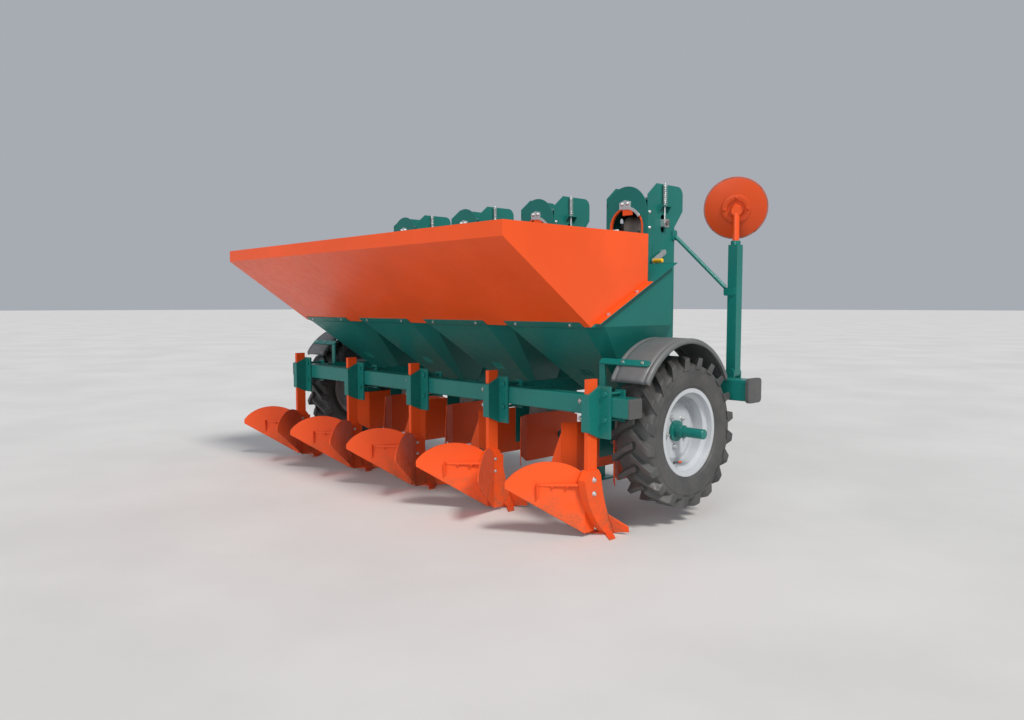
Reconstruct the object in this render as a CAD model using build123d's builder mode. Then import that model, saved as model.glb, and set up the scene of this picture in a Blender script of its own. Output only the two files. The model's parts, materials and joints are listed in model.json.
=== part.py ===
from build123d import *
from math import atan2, ceil, cos, degrees, hypot, pi, radians, sin, tan
import os

# Four-row tractor-mounted potato planter standing on its ridger points and its two parking stands.
# Millimetres. +X is the machine's right, +Y is forward to the tractor, +Z is up, floor at z = 0.

# Rows
row_pitch = 750
row_count = 4
ridger_count = row_count + 1
row_xs = [row_pitch * (index - (row_count - 1) / 2) for index in range(row_count)]
ridger_xs = [row_pitch * (index - row_count / 2) for index in range(ridger_count)]
sides = {"left": -1, "right": 1}

# Fits and sheet
running_gap = 0.4
steel_sheet = 4

# Two toolbars and the rails that tie them
rear_bar_size = 100
rear_bar_wall = 8
rear_bar_length = 3400
rear_bar_z = 675
front_bar_size = 120
front_bar_wall = 10
front_bar_length = 3600
front_bar_z = 705
bar_spacing = 940
bar_corner = 8
rear_cap_length = 8
front_cap_length = 20
front_cap_lip = 10
cap_plug = 30
rail_width = 60
rail_height = 80
rail_wall = 5
inner_rail_x = row_pitch
axle_rail_x = 1370

# Three-point hitch, category 2
lower_pin_spacing = 825
lower_pin_radius = 14
lower_pin_shank = 17
lower_pin_length = 110
lower_pin_drop = 90
hitch_offset = 170
hitch_eye_radius = 36
hitch_plate = 25
mast_height = 610
top_pin_radius = 12.75
top_link_gap = 52
top_link_reach = 92
headstock_bar = 80
headstock_depth = 30

# Hopper
hopper_width = 2910
hopper_overhang = 660
hopper_rim_z = 1575
hopper_lip_height = 75
hopper_front = 420
throat_back = -50
throat_back_z = 1073
throat_front_z = 1312
flange_width = 35
funnel_bottom_z = 640
funnel_back_width = 570
funnel_corner = 110
funnel_mouth_width = 300
funnel_mouth_back = 500
funnel_flange = 45
slit_count = 4
slit_length = 70
slit_width = 9
slit_pitch = 22

# Cup elevators
elevator_back = 645
elevator_width = 310
elevator_front = 910
elevator_bulge = 992
elevator_top_z = 1900
elevator_neck_drop = 245
elevator_foot_z = 250
elevator_foot_back = 595
elevator_foot_front = 822
elevator_knee_z = 1000
elevator_waist_z = 860
bar_clearance = 6
cheek_corner = 50
cheek_rear_cut = 70
upper_shaft_y = 790
upper_shaft_drop = 230
lower_shaft_y = 710
lower_shaft_z = 330
shaft_radius = 15
pulley_radius = 55
pulley_width = 190
belt_width = 170
belt_thickness = 5
cup_count = 18
cup_depth = 40
cup_width = 76
cup_height = 46
cup_wall = 3
window_width = 250
window_foot = 60
window_liner = 12

# Belt tension gear on the cheeks
take_up_travel = 70
bearing_block = 46
bearing_block_depth = 30
tension_rod_radius = 5
spring_seat_drop = 132
spring_seat = 6
spring_turns = 9
spring_wire = 5
spring_coil_radius = 12
spring_length = 112
spring_washer = 4
spring_nut = 10

# Shaker lever and its index plate
lever_pivot_y = 790
lever_pivot_drop = 400
lever_length = 118
lever_thickness = 6
lever_angle = 208
lever_boss_radius = 16
lever_stand_off = 12
grip_radius = 13
grip_length = 62
index_radius = 96
index_hole = 7
index_count = 5
index_step = 10

# Ground wheels and their drive
axle_offset = 472
axle_z = 505
axle_radius = 27
wheel_x = 1622
axle_end_x = 1797
rim_width = 166
rim_flange_radius = 238
rim_seat_radius = 218
rim_drop_radius = 190
rim_thickness = 5
disc_offset = -14
disc_thickness = 8
hub_flange_radius = 57
hub_flange_thickness = 14
hub_collar_radius = 35
hub_collar_length = 45
wheel_stud_circle = 172
wheel_stud_count = 5
tyre_radius = 407
tyre_width = 276
lug_height = 30
lug_count = 20
lug_width = 33
lug_sweep = 92
hanger_thickness = 12
hanger_radius = 58
chain_case_width = 45
chain_case_radius = 78

# Mudguards
guard_radius = 433
guard_width = 246
guard_centre_back = 26
guard_centre_lift = 75
guard_thickness = 6
guard_lip = 32
guard_roll = 14
guard_inset = 25
guard_front_angle = 27
guard_rear_angle = 150
guard_bar_angle = 135
guard_bar_width = 38
guard_bar_thickness = 8
guard_foot_length = 80

# Ridgers
shank_width = 25
shank_depth = 70
shank_top = 140
clamp_plate = 12
clamp_rise = 106
clamp_drop = 160
clamp_rear_rise = 62
clamp_rear_drop = 125
clamp_reach = 95
strap_start = 36
tie_bolt_x = 65
clamp_rear_wall = 10
clamp_bolt_radius = 8
clamp_bolt_heights = (25, -65)
clamp_bolt_reach = 40
frog_plate = 12
frog_top = 325
frog_back = 163
shank_foot = 200
wing_sheet = 6
wing_reach = 440
wing_spread = 270
wing_root = 110
wing_tip_z = 272
wing_crown_z = 393
wing_root_z = 327
wing_foot_z = 22
strut_z = 272
strut_height = 14
share_reach = 75
blade_spread = 95

# Furrow openers
opener_sheet = 6
opener_back = 345
opener_shoulder = 868
opener_nose = 1045
opener_sole_z = 190
opener_back_z = 490
opener_nose_z = 400
opener_flare = 45

# Row markers
marker_x = 1619
marker_pivot_z = 788
marker_tube = 60
marker_tube_wall = 5
marker_top_z = 1538
marker_hub_z = 1740
marker_pin_radius = 12
marker_lug = 10
marker_arm_radius = 19
marker_arm_insert = 120
disc_radius = 184
disc_dish = 28
disc_sheet = 5
disc_yaw = 35
disc_lift = -18
hub_length = 48
hub_radius = 30
spindle_radius = 12
stay_radius = 12
stay_tab = 8
stay_top_y = 905
stay_top_drop = 293
stay_foot_z = 1266

# Parking stands
stand_x = 600
stand_tube = 60
stand_wall = 5
stand_foot = 160
stand_foot_thickness = 10

# Places worked out from the sizes above; the origin lies under the middle of the machine
hitch_reach = bar_spacing + front_bar_size / 2 + hitch_offset + hitch_eye_radius
rear_bar_y = (hopper_overhang - hitch_reach) / 2
front_bar_y = rear_bar_y + bar_spacing
axle_y = rear_bar_y + axle_offset
hopper_sheet = steel_sheet
cheek_inner = elevator_width / 2 - steel_sheet
elevator_back_y = rear_bar_y + elevator_back
upper_y = rear_bar_y + upper_shaft_y
lower_y = rear_bar_y + lower_shaft_y
elevator_neck_z = elevator_top_z - elevator_neck_drop
upper_shaft_z = elevator_top_z - upper_shaft_drop
spring_seat_z = elevator_top_z - spring_seat_drop
lever_pivot_z = elevator_top_z - lever_pivot_drop
throat_run = hopper_front - throat_back
throat_slope = atan2(throat_front_z - throat_back_z, throat_run)
throat_top_z = throat_back_z + (elevator_back - throat_back) * tan(throat_slope)

os.makedirs("parts", exist_ok=True)


def save(builder, name):
    """Label a finished piece and write its STEP file."""
    builder.part.label = name
    export_step(builder.part, f"parts/{name}.step")


def at(y, z):
    """A point of a side view, with y measured from the rear toolbar."""
    return (rear_bar_y + y, z)


def facing_back(y):
    """A plane across the machine at y, seen from behind: x to the right, z up."""
    return Plane(origin=(0, y, 0), x_dir=(1, 0, 0), z_dir=(0, -1, 0))


def along_x(x, y, z):
    """A plane at a point, with its normal along +X."""
    return Plane(origin=(x, y, z), x_dir=(0, 1, 0), z_dir=(1, 0, 0))


# Toolbars
with BuildPart() as rear_bar:
    with BuildSketch(along_x(0, rear_bar_y, rear_bar_z)):
        RectangleRounded(rear_bar_size, rear_bar_size, bar_corner)
        inner = rear_bar_size - 2 * rear_bar_wall
        Rectangle(inner, inner, mode=Mode.SUBTRACT)
    extrude(amount=rear_bar_length / 2, both=True)
save(rear_bar, "rear_bar")

with BuildPart() as front_bar:
    with BuildSketch(along_x(0, front_bar_y, front_bar_z)):
        RectangleRounded(front_bar_size, front_bar_size, bar_corner)
        inner = front_bar_size - 2 * front_bar_wall
        Rectangle(inner, inner, mode=Mode.SUBTRACT)
    extrude(amount=front_bar_length / 2, both=True)
save(front_bar, "front_bar")

with BuildPart() as bar_end_caps:
    for side in sides.values():
        rear_end = side * rear_bar_length / 2
        with BuildSketch(along_x(rear_end, rear_bar_y, rear_bar_z)):
            RectangleRounded(rear_bar_size, rear_bar_size, bar_corner)
        extrude(amount=side * rear_cap_length)
        with BuildSketch(along_x(rear_end, rear_bar_y, rear_bar_z)):
            plug = rear_bar_size - 2 * rear_bar_wall
            Rectangle(plug, plug)
        extrude(amount=-side * cap_plug)
        front_end = side * front_bar_length / 2
        with BuildSketch(along_x(front_end, front_bar_y, front_bar_z)):
            cap = front_bar_size + 2 * front_cap_lip
            RectangleRounded(cap, cap, 3 * bar_corner)
        extrude(amount=side * front_cap_length)
        with BuildSketch(along_x(front_end, front_bar_y, front_bar_z)):
            plug = front_bar_size - 2 * front_bar_wall
            Rectangle(plug, plug)
        extrude(amount=-side * cap_plug)
save(bar_end_caps, "bar_end_caps")

# Rails from the rear toolbar to the front one
rail_back_y = rear_bar_y + rear_bar_size / 2
rail_front_y = front_bar_y - front_bar_size / 2
rail_z = (rear_bar_z + front_bar_z) / 2
with BuildPart() as frame_rails:
    for side in sides.values():
        for rail_x in (inner_rail_x, axle_rail_x):
            rail_plane = Plane(origin=(side * rail_x, rail_back_y, rail_z), x_dir=(1, 0, 0), z_dir=(0, 1, 0))
            with BuildSketch(rail_plane):
                Rectangle(rail_width, rail_height)
                Rectangle(rail_width - 2 * rail_wall, rail_height - 2 * rail_wall, mode=Mode.SUBTRACT)
    extrude(amount=rail_front_y - rail_back_y)
save(frame_rails, "frame_rails")

# Hitch: two lower plates and an A-frame on the front toolbar
hitch_face_y = front_bar_y + front_bar_size / 2
lower_pin_y = hitch_face_y + hitch_offset
lower_pin_z = front_bar_z - lower_pin_drop
top_pin_z = lower_pin_z + mast_height
top_pin_y = hitch_face_y + top_link_reach
with BuildPart() as headstock:
    for side in sides.values():
        with BuildSketch(Plane.YZ.offset(side * lower_pin_spacing / 2 - hitch_plate / 2)):
            with BuildLine():
                Polyline(
                    (hitch_face_y, front_bar_z + front_bar_size / 2),
                    (hitch_face_y + headstock_depth, front_bar_z + front_bar_size / 2),
                    (lower_pin_y, lower_pin_z + hitch_eye_radius),
                )
                ThreePointArc(
                    (lower_pin_y, lower_pin_z + hitch_eye_radius),
                    (lower_pin_y + hitch_eye_radius, lower_pin_z),
                    (lower_pin_y, lower_pin_z - hitch_eye_radius),
                )
                Polyline(
                    (lower_pin_y, lower_pin_z - hitch_eye_radius),
                    (hitch_face_y, front_bar_z - front_bar_size / 2),
                    (hitch_face_y, front_bar_z + front_bar_size / 2),
                )
            make_face()
            with Locations((lower_pin_y, lower_pin_z)):
                Circle(lower_pin_shank, mode=Mode.SUBTRACT)
        extrude(amount=hitch_plate)
        with BuildSketch(facing_back(hitch_face_y)):
            foot_x = side * (lower_pin_spacing / 2)
            head_x = side * (top_link_gap / 2 + hitch_plate)
            Polygon(
                (foot_x - side * headstock_bar, front_bar_z - front_bar_size / 2),
                (foot_x, front_bar_z - front_bar_size / 2),
                (foot_x, front_bar_z + front_bar_size / 2),
                (head_x + side * headstock_bar / 2, top_pin_z),
                (0, top_pin_z),
                (0, top_pin_z - headstock_bar),
                (head_x, top_pin_z - headstock_bar),
                align=None,
            )
        extrude(amount=-headstock_depth)
        with BuildSketch(Plane.YZ.offset(side * (top_link_gap / 2 + hitch_plate / 2) - hitch_plate / 2)):
            with Locations((top_pin_y, top_pin_z)):
                Circle(hitch_eye_radius)
            with Locations((hitch_face_y + top_link_reach / 2, top_pin_z - hitch_eye_radius / 2)):
                Rectangle(top_link_reach, hitch_eye_radius)
            with Locations((top_pin_y, top_pin_z)):
                Circle(top_pin_radius, mode=Mode.SUBTRACT)
        extrude(amount=hitch_plate)
save(headstock, "headstock")

with BuildPart() as hitch_pins:
    for side in sides.values():
        inner_x = side * (lower_pin_spacing / 2 - hitch_plate / 2)
        with BuildSketch(along_x(inner_x, lower_pin_y, lower_pin_z)):
            Circle(lower_pin_shank)
        extrude(amount=side * hitch_plate)
        with BuildSketch(along_x(inner_x + side * hitch_plate, lower_pin_y, lower_pin_z)):
            Circle(lower_pin_radius)
        extrude(amount=side * lower_pin_length)
        with BuildSketch(along_x(inner_x, lower_pin_y, lower_pin_z)):
            Circle(lower_pin_shank * 1.5)
        extrude(amount=-side * hitch_plate / 2)
save(hitch_pins, "hitch_pins")

# Parking stands in front of the front toolbar
with BuildPart() as parking_stands:
    for side in sides.values():
        stand_y = hitch_face_y + stand_tube / 2
        stand_top = front_bar_z + front_bar_size / 2 + stand_tube
        with BuildSketch(Plane(origin=(side * stand_x, stand_y, stand_foot_thickness))):
            Rectangle(stand_tube, stand_tube)
            Rectangle(stand_tube - 2 * stand_wall, stand_tube - 2 * stand_wall, mode=Mode.SUBTRACT)
        extrude(amount=stand_top - stand_foot_thickness)
        with BuildSketch(Plane(origin=(side * stand_x, stand_y, 0))):
            RectangleRounded(stand_foot, stand_foot, bar_corner)
        extrude(amount=stand_foot_thickness)
save(parking_stands, "parking_stands")

# Hopper: a folded sheet shell, open at the top and along its sloping throat
throat_back_point = at(throat_back, throat_back_z)
throat_front_point = at(hopper_front, throat_front_z)


def beside_throat(y, layers):
    """A point of the throat line at y, raised by whole sheets."""
    z = throat_back_z + (y - throat_back) * tan(throat_slope)
    return (rear_bar_y + y, z + layers * steel_sheet / cos(throat_slope))


with BuildPart() as hopper_shell:
    with BuildSketch(Plane.YZ):
        Polygon(
            at(-hopper_overhang, hopper_rim_z),
            at(-hopper_overhang, hopper_rim_z - hopper_lip_height),
            throat_back_point,
            throat_front_point,
            at(hopper_front, hopper_rim_z),
            align=None,
        )
    extrude(amount=hopper_width / 2, both=True)
    rim_face = hopper_shell.faces().sort_by(Axis.Z)[-1]
    throat_face = hopper_shell.faces().sort_by(Axis((0, 0, 0), (0, 1, -2)))[-1]
    offset(amount=-hopper_sheet, openings=[rim_face, throat_face])
    for side in sides.values():
        with BuildSketch(Plane.YZ.offset(side * hopper_width / 2)):
            Polygon(
                beside_throat(throat_back + flange_width, 0),
                beside_throat(hopper_front, 0),
                beside_throat(hopper_front, 1),
                beside_throat(throat_back + flange_width, 1),
                align=None,
            )
        extrude(amount=side * flange_width)
save(hopper_shell, "hopper_shell")

with BuildPart() as hopper_throat:
    for side in sides.values():
        with BuildSketch(Plane.YZ.offset(side * hopper_width / 2)):
            Polygon(
                throat_back_point,
                at(elevator_back, throat_top_z),
                at(elevator_back, throat_back_z),
                align=None,
            )
        extrude(amount=-side * steel_sheet)
        with BuildSketch(Plane.YZ.offset(side * hopper_width / 2)):
            Polygon(
                beside_throat(throat_back + flange_width, 0),
                beside_throat(elevator_back, 0),
                beside_throat(elevator_back, -1),
                beside_throat(throat_back + flange_width, -1),
                align=None,
            )
        extrude(amount=side * flange_width)
    with BuildSketch(Plane.YZ):
        Polygon(
            beside_throat(hopper_front, 0),
            beside_throat(elevator_back, 0),
            beside_throat(elevator_back, -1),
            beside_throat(hopper_front, -1),
            align=None,
        )
    extrude(amount=hopper_width / 2, both=True)
    with BuildSketch(facing_back(elevator_back_y)):
        with Locations((0, (throat_back_z + throat_top_z) / 2)):
            Rectangle(hopper_width, throat_top_z - throat_back_z)
        for row_x in row_xs:
            with Locations((row_x, throat_back_z)):
                height = throat_top_z - throat_back_z - window_foot
                Rectangle(2 * cheek_inner, height, align=(Align.CENTER, Align.MIN), mode=Mode.SUBTRACT)
    extrude(amount=steel_sheet)
save(hopper_throat, "hopper_throat")

# Seed funnels under the throat, one for each row
floor_slope = atan2(hopper_rim_z - hopper_lip_height - throat_back_z, hopper_overhang + throat_back)
funnel_slope = atan2(throat_back_z - funnel_bottom_z, funnel_mouth_back - throat_back)


def funnel_outline(row_x, inset):
    """Top corners of a funnel; the outer rows stop at the hopper's side."""
    edge = min(row_pitch / 2, hopper_width / 2 - abs(row_x)) - running_gap
    outer = 1 if row_x > 0 else -1
    right = (edge if outer > 0 else row_pitch / 2 - running_gap) - inset
    left = (edge if outer < 0 else row_pitch / 2 - running_gap) - inset
    back = throat_back + inset
    front = elevator_back - steel_sheet - inset
    corner = throat_back + funnel_corner
    back_half = funnel_back_width / 2 - inset
    return [
        (row_x - left, rear_bar_y + front),
        (row_x - left, rear_bar_y + corner),
        (row_x - back_half, rear_bar_y + back),
        (row_x + back_half, rear_bar_y + back),
        (row_x + right, rear_bar_y + corner),
        (row_x + right, rear_bar_y + front),
    ]


def mouth_outline(row_x, inset):
    """Bottom corners of a funnel, in the same order as its top corners."""
    half = funnel_mouth_width / 2 - inset
    back = funnel_mouth_back + inset
    front = elevator_back - steel_sheet - inset
    corner = funnel_mouth_back + inset + funnel_corner / 4
    return [
        (row_x - half, rear_bar_y + front),
        (row_x - half, rear_bar_y + corner),
        (row_x - half + funnel_corner / 5, rear_bar_y + back),
        (row_x + half - funnel_corner / 5, rear_bar_y + back),
        (row_x + half, rear_bar_y + corner),
        (row_x + half, rear_bar_y + front),
    ]


slit_y = (throat_back + funnel_mouth_back) / 2 + slit_length
slit_z = throat_back_z - (slit_y - throat_back) * tan(funnel_slope)
belt_lean = atan2(upper_shaft_y - lower_shaft_y, upper_shaft_z - lower_shaft_z)
cup_sweep = pulley_radius + belt_thickness + cup_depth
belt_back_at_mouth = lower_shaft_y + (funnel_bottom_z - lower_shaft_z) * tan(belt_lean) - cup_sweep
with BuildPart() as seed_funnels:
    for row_x in row_xs:
        with BuildSketch(Plane.XY.offset(throat_back_z)):
            Polygon(*funnel_outline(row_x, 0), align=None)
        with BuildSketch(Plane.XY.offset(funnel_bottom_z)):
            Polygon(*mouth_outline(row_x, 0), align=None)
        loft(ruled=True)
        with BuildSketch(Plane.XY.offset(throat_back_z)):
            Polygon(*funnel_outline(row_x, steel_sheet), align=None)
        with BuildSketch(Plane.XY.offset(funnel_bottom_z + steel_sheet)):
            Polygon(*mouth_outline(row_x, steel_sheet), align=None)
        loft(ruled=True, mode=Mode.SUBTRACT)
        with BuildSketch(Plane.XY.offset(funnel_bottom_z)):
            mouth_gap = elevator_back - belt_back_at_mouth + 2 * steel_sheet
            with Locations((row_x, elevator_back_y - mouth_gap)):
                Rectangle(2 * cheek_inner, mouth_gap, align=(Align.CENTER, Align.MIN))
        extrude(amount=throat_back_z - funnel_bottom_z, mode=Mode.SUBTRACT)
        slit_origin = (row_x, rear_bar_y + slit_y, slit_z)
        slit_plane = Plane(slit_origin, x_dir=(1, 0, 0), z_dir=(0, -sin(funnel_slope), -cos(funnel_slope)))
        with BuildSketch(slit_plane):
            with GridLocations(slit_pitch, 0, slit_count, 1):
                SlotOverall(slit_length, slit_width, rotation=90)
        extrude(amount=6 * steel_sheet, both=True, mode=Mode.SUBTRACT)
        floor_step = (-cos(floor_slope) * funnel_flange, sin(floor_slope) * funnel_flange)
        floor_out = (-sin(floor_slope) * steel_sheet, -cos(floor_slope) * steel_sheet)
        flange_y, flange_z = throat_back_point
        with BuildSketch(Plane.YZ.offset(row_x - funnel_back_width / 2)):
            Polygon(
                (flange_y, flange_z),
                (flange_y + floor_step[0], flange_z + floor_step[1]),
                (flange_y + floor_step[0] + floor_out[0], flange_z + floor_step[1] + floor_out[1]),
                (flange_y + floor_out[0], flange_z + floor_out[1]),
                (flange_y + 2 * steel_sheet, flange_z - 2 * steel_sheet),
                (flange_y + steel_sheet, flange_z),
                align=None,
            )
        extrude(amount=funnel_back_width)
save(seed_funnels, "seed_funnels")

# Elevator housings: two cheeks, a rear arch plate and a bent duct to each row
bar_back = bar_spacing - front_bar_size / 2
waist = bar_back - bar_clearance
upper_slot = 2 * shaft_radius + 4


def cheek_sketch():
    """Side view of an elevator cheek, with its take-up slot and holes."""
    outline = [
        at(elevator_back, elevator_top_z - cheek_rear_cut),
        at(elevator_back, funnel_bottom_z - 10),
        at(elevator_foot_back, funnel_bottom_z - 60),
        at(elevator_foot_back, elevator_foot_z),
        at(elevator_foot_front, elevator_foot_z),
        at(waist, front_bar_z - front_bar_size),
        at(waist, elevator_waist_z),
        at(elevator_front, elevator_knee_z),
        at(elevator_front, elevator_neck_z),
        at(elevator_bulge, elevator_neck_z + 100),
        at(elevator_bulge, elevator_top_z),
        at(upper_shaft_y - 60, elevator_top_z),
    ]
    with BuildSketch(mode=Mode.PRIVATE) as cheek:
        Polygon(*outline, align=None)
        top_corner = cheek.vertices().group_by(Axis.Y)[-1].sort_by(Axis.X)[-1]
        fillet(top_corner, cheek_corner)
        with Locations(at(upper_shaft_y, upper_shaft_z)):
            SlotOverall(take_up_travel + upper_slot, upper_slot, rotation=90, mode=Mode.SUBTRACT)
        with Locations(at(lower_shaft_y, lower_shaft_z)):
            Circle(shaft_radius + running_gap, mode=Mode.SUBTRACT)
        with Locations(at(lever_pivot_y, lever_pivot_z)):
            Circle(lever_boss_radius / 2, mode=Mode.SUBTRACT)
            first = 180 - index_step * (index_count - 1) / 2
            last_step = index_step * index_count
            with PolarLocations(index_radius, index_count, first, last_step):
                Circle(index_hole / 2, mode=Mode.SUBTRACT)
    return cheek.sketch


cheek_face = cheek_sketch()
with BuildPart() as elevator_cheeks:
    for row_x in row_xs:
        for side in sides.values():
            cheek_x = row_x + side * cheek_inner - (steel_sheet if side < 0 else 0)
            with BuildSketch(Plane.YZ.offset(cheek_x)):
                add(cheek_face)
    extrude(amount=steel_sheet)
save(elevator_cheeks, "elevator_cheeks")

arch_radius = elevator_width / 2
arch_z = elevator_top_z - 8 - arch_radius
window_radius = window_width / 2
window_arch_z = arch_z - 0.75 * window_radius
with BuildPart() as elevator_arches:
    for row_x in row_xs:
        with BuildSketch(facing_back(elevator_back_y)):
            with Locations((row_x, throat_top_z)):
                Rectangle(2 * cheek_inner, arch_z - throat_top_z, align=(Align.CENTER, Align.MIN))
            with Locations((row_x, arch_z)):
                Circle(cheek_inner)
            window_foot_z = throat_top_z + window_foot
            with Locations((row_x, window_foot_z)):
                height = window_arch_z - window_foot_z
                Rectangle(window_width, height, align=(Align.CENTER, Align.MIN), mode=Mode.SUBTRACT)
            with Locations((row_x, window_arch_z)):
                Circle(window_radius, mode=Mode.SUBTRACT)
        extrude(amount=steel_sheet)
save(elevator_arches, "elevator_arches")

with BuildPart() as window_liners:
    for row_x in row_xs:
        with BuildSketch(facing_back(elevator_back_y)):
            with Locations((row_x, window_foot_z)):
                height = window_arch_z - window_foot_z
                Rectangle(window_width, height, align=(Align.CENTER, Align.MIN))
            with Locations((row_x, window_arch_z)):
                Circle(window_radius)
                Circle(window_radius - window_liner, mode=Mode.SUBTRACT)
            with Locations((row_x, window_foot_z)):
                opening = window_width - 2 * window_liner
                Rectangle(opening, height, align=(Align.CENTER, Align.MIN), mode=Mode.SUBTRACT)
        extrude(amount=-window_liner)
        with BuildSketch(facing_back(elevator_back_y)):
            with Locations((row_x, window_foot_z)):
                Rectangle(window_width, height, align=(Align.CENTER, Align.MIN))
            with Locations((row_x, window_arch_z)):
                Circle(window_radius)
                Circle(window_radius - window_liner, mode=Mode.SUBTRACT)
            with Locations((row_x, window_foot_z)):
                Rectangle(opening, height, align=(Align.CENTER, Align.MIN), mode=Mode.SUBTRACT)
        extrude(amount=steel_sheet)
save(window_liners, "window_liners")

hood_inset = 10
hood_top = (upper_shaft_y + 20, upper_shaft_z + cup_sweep + 6 * hood_inset)
with BuildPart() as elevator_ducts:
    for row_x in row_xs:
        with BuildSketch(Plane.YZ.offset(row_x - cheek_inner)):
            with BuildLine():
                front = Polyline(
                    at(elevator_foot_front - hood_inset, elevator_foot_z + hood_inset),
                    at(waist - hood_inset, front_bar_z - front_bar_size),
                    at(waist - hood_inset, elevator_waist_z + hood_inset),
                    at(elevator_front - hood_inset, elevator_knee_z + hood_inset),
                    at(elevator_front - hood_inset, elevator_neck_z + hood_inset),
                    at(elevator_bulge - hood_inset, elevator_neck_z + 100),
                )
                hood = ThreePointArc(
                    at(elevator_bulge - hood_inset, elevator_neck_z + 100),
                    at(*hood_top),
                    at(elevator_back + steel_sheet, upper_shaft_z + cup_sweep + 3 * hood_inset),
                )
                offset(amount=steel_sheet, side=Side.LEFT)
            make_face()
        extrude(amount=2 * cheek_inner)
save(elevator_ducts, "elevator_ducts")

# Cup belts: a flat loop over two equal pulleys, with moulded cups
belt_run = hypot(upper_shaft_y - lower_shaft_y, upper_shaft_z - lower_shaft_z)
belt_line = pulley_radius + running_gap
belt_length = 2 * belt_run + 2 * pi * (belt_line + belt_thickness)


def belt_station(distance):
    """Height along the belt, offset from its centre line and direction, for a way round the loop."""
    radius = belt_line + belt_thickness
    turn = pi * radius
    if distance < belt_run:
        return (-radius, distance, 180)
    distance = distance - belt_run
    if distance < turn:
        angle = 180 - degrees(distance / radius)
        return (radius * cos(radians(angle)), belt_run + radius * sin(radians(angle)), angle)
    distance = distance - turn
    if distance < belt_run:
        return (radius, belt_run - distance, 0)
    angle = -degrees((distance - belt_run) / radius)
    return (radius * cos(radians(angle)), radius * sin(radians(angle)), angle)


belt_plane = Plane(
    origin=(-belt_width / 2, lower_y, lower_shaft_z),
    x_dir=(0, cos(belt_lean), -sin(belt_lean)),
    z_dir=(1, 0, 0),
)
cup_planes = []
for index in range(cup_count):
    out, up, angle = belt_station(belt_length * (index + 0.5) / cup_count)
    away = (belt_plane.x_dir * cos(radians(angle)) + belt_plane.y_dir * sin(radians(angle))).normalized()
    foot = belt_plane.from_local_coords(Vector(out, up, belt_width / 2))
    travel = away.cross(Vector(1, 0, 0))
    cup_planes.append(Plane(origin=foot, x_dir=away, z_dir=travel))

with BuildPart() as belt_form:
    with BuildSketch(belt_plane):
        with Locations((0, belt_run / 2)):
            SlotCenterToCenter(belt_run, 2 * (belt_line + belt_thickness), rotation=90)
            SlotCenterToCenter(belt_run, 2 * belt_line, rotation=90, mode=Mode.SUBTRACT)
    extrude(amount=belt_width)
    for cup_plane in cup_planes:
        with BuildSketch(cup_plane.offset(-cup_height / 2)):
            Polygon(
                (-belt_thickness / 2, -cup_width / 2),
                (cup_depth / 2, -cup_width / 2),
                (cup_depth, -cup_width / 4),
                (cup_depth, cup_width / 4),
                (cup_depth / 2, cup_width / 2),
                (-belt_thickness / 2, cup_width / 2),
                align=None,
            )
    extrude(amount=cup_height)
    for cup_plane in cup_planes:
        with BuildSketch(cup_plane.offset(-cup_height / 2 + cup_wall)):
            with Locations((cup_depth / 2, 0)):
                Rectangle(cup_depth - 2 * cup_wall, cup_width / 2)
    extrude(amount=cup_height, mode=Mode.SUBTRACT)

with BuildPart() as cup_belts:
    with Locations(*[(row_x, 0, 0) for row_x in row_xs]):
        add(belt_form.part)
save(cup_belts, "cup_belts")

# Upper belt pulleys, each on its own shaft
block_gap = running_gap
block_inner = elevator_width / 2 + block_gap
upper_shaft_half = block_inner + bearing_block_depth + 8
for side_name, side in sides.items():
    with BuildPart() as upper_pulleys:
        for row_x in row_xs:
            if row_x * side > 0:
                with BuildSketch(along_x(row_x - pulley_width / 2, upper_y, upper_shaft_z)):
                    Circle(pulley_radius)
                extrude(amount=pulley_width)
                with BuildSketch(along_x(row_x - upper_shaft_half, upper_y, upper_shaft_z)):
                    Circle(shaft_radius)
                extrude(amount=2 * upper_shaft_half)
    save(upper_pulleys, f"upper_pulleys_{side_name}")

# Lower half shafts, each with the drive pulleys of two rows
case_inner_x = axle_rail_x + rail_width / 2
for side_name, side in sides.items():
    with BuildPart() as drive_shaft:
        shaft_start = row_pitch / 2 - elevator_width / 2 - 40
        shaft_end = case_inner_x + chain_case_width - steel_sheet
        with BuildSketch(along_x(side * shaft_start, lower_y, lower_shaft_z)):
            Circle(shaft_radius)
        extrude(amount=side * (shaft_end - shaft_start))
        for row_x in row_xs:
            if row_x * side > 0:
                with BuildSketch(along_x(row_x - pulley_width / 2, lower_y, lower_shaft_z)):
                    Circle(pulley_radius)
                extrude(amount=pulley_width)
    save(drive_shaft, f"drive_shaft_{side_name}")

# Take-up gear: bearing blocks, draw rods, spring seats and springs on both cheeks
with BuildPart() as take_up_rods:
    for row_x in row_xs:
        for side in sides.values():
            block_x = row_x + side * (block_inner + bearing_block_depth / 2)
            with BuildSketch(along_x(block_x - bearing_block_depth / 2, upper_y, upper_shaft_z)):
                RectangleRounded(bearing_block, bearing_block, bearing_block / 6)
                Circle(shaft_radius + running_gap, mode=Mode.SUBTRACT)
            extrude(amount=bearing_block_depth)
            rod_top = spring_seat_z + spring_seat + spring_length + spring_washer + spring_nut + 5
            with BuildSketch(Plane(origin=(block_x, upper_y, upper_shaft_z + bearing_block / 2))):
                Circle(tension_rod_radius)
            extrude(amount=rod_top - upper_shaft_z - bearing_block / 2)
            with BuildSketch(Plane(origin=(block_x, upper_y, spring_seat_z + spring_seat + spring_length))):
                Circle(spring_coil_radius + spring_wire / 2)
            extrude(amount=spring_washer)
            nut_z = spring_seat_z + spring_seat + spring_length + spring_washer
            with BuildSketch(Plane(origin=(block_x, upper_y, nut_z))):
                RegularPolygon(tension_rod_radius * 1.9, 6)
            extrude(amount=spring_nut)
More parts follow.
